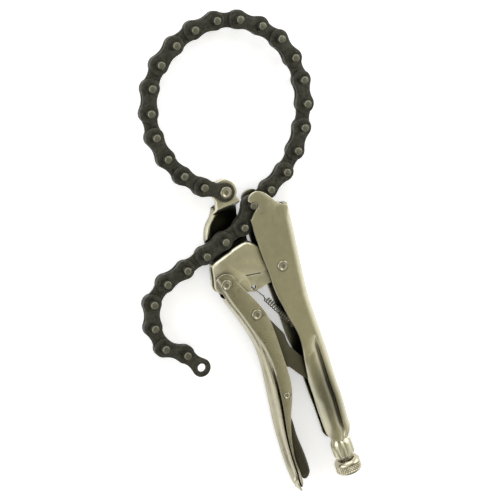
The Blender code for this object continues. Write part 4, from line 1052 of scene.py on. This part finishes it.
for wanted, turned in (("Near plate", 0.0), ("Far plate", math.pi)):
    point = nodes.new("GeometryNodePoints")
    stamp = nodes.new("GeometryNodeInstanceOnPoints")
    stamp.inputs["Rotation"].default_value = (turned, 0, 0)
    link_tree.links.new(point.outputs[0], stamp.inputs["Points"])
    link_tree.links.new(given.outputs[wanted], stamp.inputs["Selection"])
    link_tree.links.new(plate_info.outputs["Geometry"], stamp.inputs["Instance"])
    link_tree.links.new(stamp.outputs[0], joined.inputs["Geometry"])
row_of_pins = nodes.new("GeometryNodeMeshLine")
row_of_pins.inputs["Count"].default_value = 2
step = nodes.new("ShaderNodeCombineXYZ")
link_tree.links.new(given.outputs["Pitch"], step.inputs["X"])
link_tree.links.new(step.outputs[0], row_of_pins.inputs["Offset"])
pins_on = nodes.new("GeometryNodeInstanceOnPoints")
link_tree.links.new(row_of_pins.outputs[0], pins_on.inputs["Points"])
link_tree.links.new(given.outputs["Pins"], pins_on.inputs["Selection"])
link_tree.links.new(pin_info.outputs["Geometry"], pins_on.inputs["Instance"])
link_tree.links.new(pins_on.outputs[0], joined.inputs["Geometry"])
real = nodes.new("GeometryNodeRealizeInstances")
link_tree.links.new(joined.outputs[0], real.inputs[0])
link_tree.links.new(real.outputs[0], result.inputs[0])

# The loop closes at one pin that is no joint: it stands one pitch from its neighbours on both sides.
LOOP_CLOSING = 11
CHAIN_PINS = {k: Vector(JOINTS[f"chain_hinge_{k:02d}"]["pos_m"]) for k in range(31) if k != LOOP_CLOSING}
before, after = CHAIN_PINS[LOOP_CLOSING - 1], CHAIN_PINS[LOOP_CLOSING + 1]
across = after - before
outward = Vector((-across.y, across.x, 0)).normalized()
rise = math.sqrt((PITCH * MM) ** 2 - (across.length / 2) ** 2)
CHAIN_PINS[LOOP_CLOSING] = before + across / 2 + outward * rise
low, high = (Vector(corner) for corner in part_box("link_30_inner"))
last = CHAIN_PINS[30]
far_x = low.x if abs(low.x - last.x) > abs(high.x - last.x) else high.x
far_y = low.y if abs(low.y - last.y) > abs(high.y - last.y) else high.y
reach_to = Vector((far_x, far_y, last.z)) - last
reach_to = Vector((abs(reach_to.x) - END_RADIUS * MM, abs(reach_to.y) - END_RADIUS * MM, 0))
reach_to.x *= 1 if far_x > last.x else -1
reach_to.y *= 1 if far_y > last.y else -1
CHAIN_PINS[31] = last + reach_to


def link_place(k):
    step = CHAIN_PINS[k + 1] - CHAIN_PINS[k]
    return Matrix.Translation(CHAIN_PINS[k]) @ Matrix.Rotation(math.atan2(step.y, step.x), 4, "Z") @ Matrix.Scale(MM, 4)


for k in range(31):
    kind = "anchor" if k == 0 else ("outer" if k % 2 else "inner")
    plate = {"anchor": anchor_plate, "outer": outer_plate, "inner": inner_plate}[kind]
    if kind == "anchor":
        for side, near in (("near", True), ("far", False)):
            mesh = made_by(link_tree, {"Plate": plate, "Pin": link_pin, "Pitch": PITCH, "Near plate": near, "Far plate": not near,
                                       "Pins": False}, f"anchor_{side}")
            put_mesh(f"anchor_plate_{side}_stamped", mesh, link_place(k), "anchor", [f"anchor_plate_{side}"])
        continue
    pair = kind == "outer"
    mesh = made_by(link_tree, {"Plate": plate, "Pin": link_pin, "Pitch": PITCH, "Near plate": True, "Far plate": pair, "Pins": pair},
                   f"link_{k}")
    put_mesh(f"link_{k:02d}_stamped", mesh, link_place(k), f"link_{k:02d}", [f"link_{k:02d}_{kind}"])
for holder in (inner_plate, outer_plate, anchor_plate, link_pin, dished_head):
    bpy.data.objects.remove(holder, do_unlink=True)

# Floor, light and camera: a white sweep, three large soft lamps, a dark curtain low below them and a
# grey card over the camera's side, both for the steel to reflect. The camera stands where the
# photograph was taken from.
floor_bm = bmesh.new()
bmesh.ops.create_grid(floor_bm, x_segments=1, y_segments=1, size=6.0)
floor_mesh = bpy.data.meshes.new("floor")
floor_bm.to_mesh(floor_mesh)
floor_bm.free()
floor = bpy.data.objects.new("floor", floor_mesh)
floor.location.z = -0.0004
bpy.context.scene.collection.objects.link(floor)
floor_paint, shader, place, add, join = node_kit("floor paint")
shader.inputs["Base Color"].default_value = (0.93, 0.93, 0.93, 1)
shader.inputs["Roughness"].default_value = 0.9
shader.inputs["Specular IOR Level"].default_value = 0.1
shader.inputs["Emission Color"].default_value = (1, 1, 1, 1)
seen = add("ShaderNodeLightPath")
either = add("ShaderNodeMath", operation="MAXIMUM")
join(seen.outputs["Is Camera Ray"], either.inputs[0])
join(seen.outputs["Is Glossy Ray"], either.inputs[1])
any_ray = add("ShaderNodeMath", operation="MAXIMUM")
join(either.outputs[0], any_ray.inputs[0])
join(seen.outputs["Is Transmission Ray"], any_ray.inputs[1])
glow = add("ShaderNodeMath", operation="MULTIPLY")
join(any_ray.outputs[0], glow.inputs[0])
glow.inputs[1].default_value = 0.42
join(glow.outputs[0], shader.inputs["Emission Strength"])
floor_mesh.materials.append(floor_paint)

world = bpy.data.worlds.new("studio")
bpy.context.scene.world = world
world.use_nodes = True
tree = world.node_tree
back = tree.nodes["Background"]
back.inputs["Color"].default_value = (1, 1, 1, 1)
light_path = tree.nodes.new("ShaderNodeLightPath")
seen = tree.nodes.new("ShaderNodeMath")
seen.operation = "MAXIMUM"
seen_too = tree.nodes.new("ShaderNodeMath")
seen_too.operation = "MAXIMUM"
tree.links.new(light_path.outputs["Is Camera Ray"], seen.inputs[0])
tree.links.new(light_path.outputs["Is Glossy Ray"], seen.inputs[1])
tree.links.new(seen.outputs[0], seen_too.inputs[0])
tree.links.new(light_path.outputs["Is Transmission Ray"], seen_too.inputs[1])
level = tree.nodes.new("ShaderNodeMapRange")
level.inputs["To Min"].default_value = 0.85
level.inputs["To Max"].default_value = 1.0
tree.links.new(seen_too.outputs[0], level.inputs["Value"])
tree.links.new(level.outputs["Result"], back.inputs["Strength"])


def soft_lamp(name, place, size, power):
    lamp = bpy.data.lights.new(name, "AREA")
    lamp.shape = "RECTANGLE"
    lamp.size, lamp.size_y = size
    lamp.energy = power
    holder = bpy.data.objects.new(name, lamp)
    holder.location = place
    holder.rotation_euler = (-Vector(place)).to_track_quat("-Z", "Y").to_euler()
    holder.visible_camera = False
    bpy.context.scene.collection.objects.link(holder)


soft_lamp("lamp_left", (-1.5, 0.5, 0.75), (0.9, 1.4), 9.0)
soft_lamp("lamp_right", (1.5, 0.3, 0.65), (0.8, 1.4), 9.0)
soft_lamp("lamp_top", (0.1, 1.6, 0.8), (1.6, 0.8), 9.0)

curtain_bm = bmesh.new()
foot = [curtain_bm.verts.new((x, y, 0.0)) for x, y in ring((0, 0), 2.4, 205, 325, 24)]
head = [curtain_bm.verts.new((v.co.x, v.co.y, 0.95)) for v in foot]
for i in range(24):
    curtain_bm.faces.new((foot[i], foot[i + 1], head[i + 1], head[i]))
curtain_mesh = bpy.data.meshes.new("dark_curtain")
curtain_bm.to_mesh(curtain_mesh)
curtain_bm.free()
curtain = bpy.data.objects.new("dark_curtain", curtain_mesh)
bpy.context.scene.collection.objects.link(curtain)
curtain_cloth, shader, place, add, join = node_kit("curtain cloth")
shader.inputs["Base Color"].default_value = (0.030, 0.030, 0.028, 1)
shader.inputs["Roughness"].default_value = 1.0
curtain_mesh.materials.append(curtain_cloth)
curtain.visible_camera = False

card_bm = bmesh.new()
bmesh.ops.create_grid(card_bm, x_segments=1, y_segments=1, size=1.15)
card_mesh = bpy.data.meshes.new("grey_card")
card_bm.to_mesh(card_mesh)
card_bm.free()
card = bpy.data.objects.new("grey_card", card_mesh)
card.location = (0.50, -0.50, 1.9)
card.rotation_euler = Vector((0.55, -0.55, 1.9)).to_track_quat("Z", "Y").to_euler()
bpy.context.scene.collection.objects.link(card)
card_paint, shader, place, add, join = node_kit("card paint")
shader.inputs["Roughness"].default_value = 1.0
parts = add("ShaderNodeSeparateXYZ")
join(place.outputs["Object"], parts.inputs[0])
fade = add("ShaderNodeMapRange")
fade.inputs["From Min"].default_value = 0.10
fade.inputs["From Max"].default_value = -0.65
join(parts.outputs["Y"], fade.inputs["Value"])
tint = add("ShaderNodeValToRGB")
tint.color_ramp.elements[0].color = (0.245, 0.235, 0.165, 1)
tint.color_ramp.elements[1].color = (0.56, 0.53, 0.38, 1)
join(fade.outputs["Result"], tint.inputs["Fac"])
join(tint.outputs["Color"], shader.inputs["Base Color"])
card_mesh.materials.append(card_paint)
card.visible_camera = False

camera_data = bpy.data.cameras.new("camera")
camera_data.sensor_width = 36.0
camera_data.lens = 36.0 * 1546.8 / 500
camera_data.clip_end = 20
camera = bpy.data.objects.new("camera", camera_data)
bpy.context.scene.collection.objects.link(camera)
bpy.context.scene.camera = camera
PHOTO_RIGHT = Vector((0.878794, -0.312363, 0.360763))
PHOTO_UP = Vector((0.388544, 0.907271, -0.160915))
PHOTO_BACK = Vector((-0.277046, 0.281583, 0.918671))
turn = Matrix((PHOTO_RIGHT, PHOTO_UP, PHOTO_BACK)).transposed().to_4x4()
camera.matrix_world = Matrix.Translation(MAIN_RIVET + Vector((-300.6, 306.7, 944.6)) * MM) @ turn

bpy.context.scene.view_settings.view_transform = "Standard"
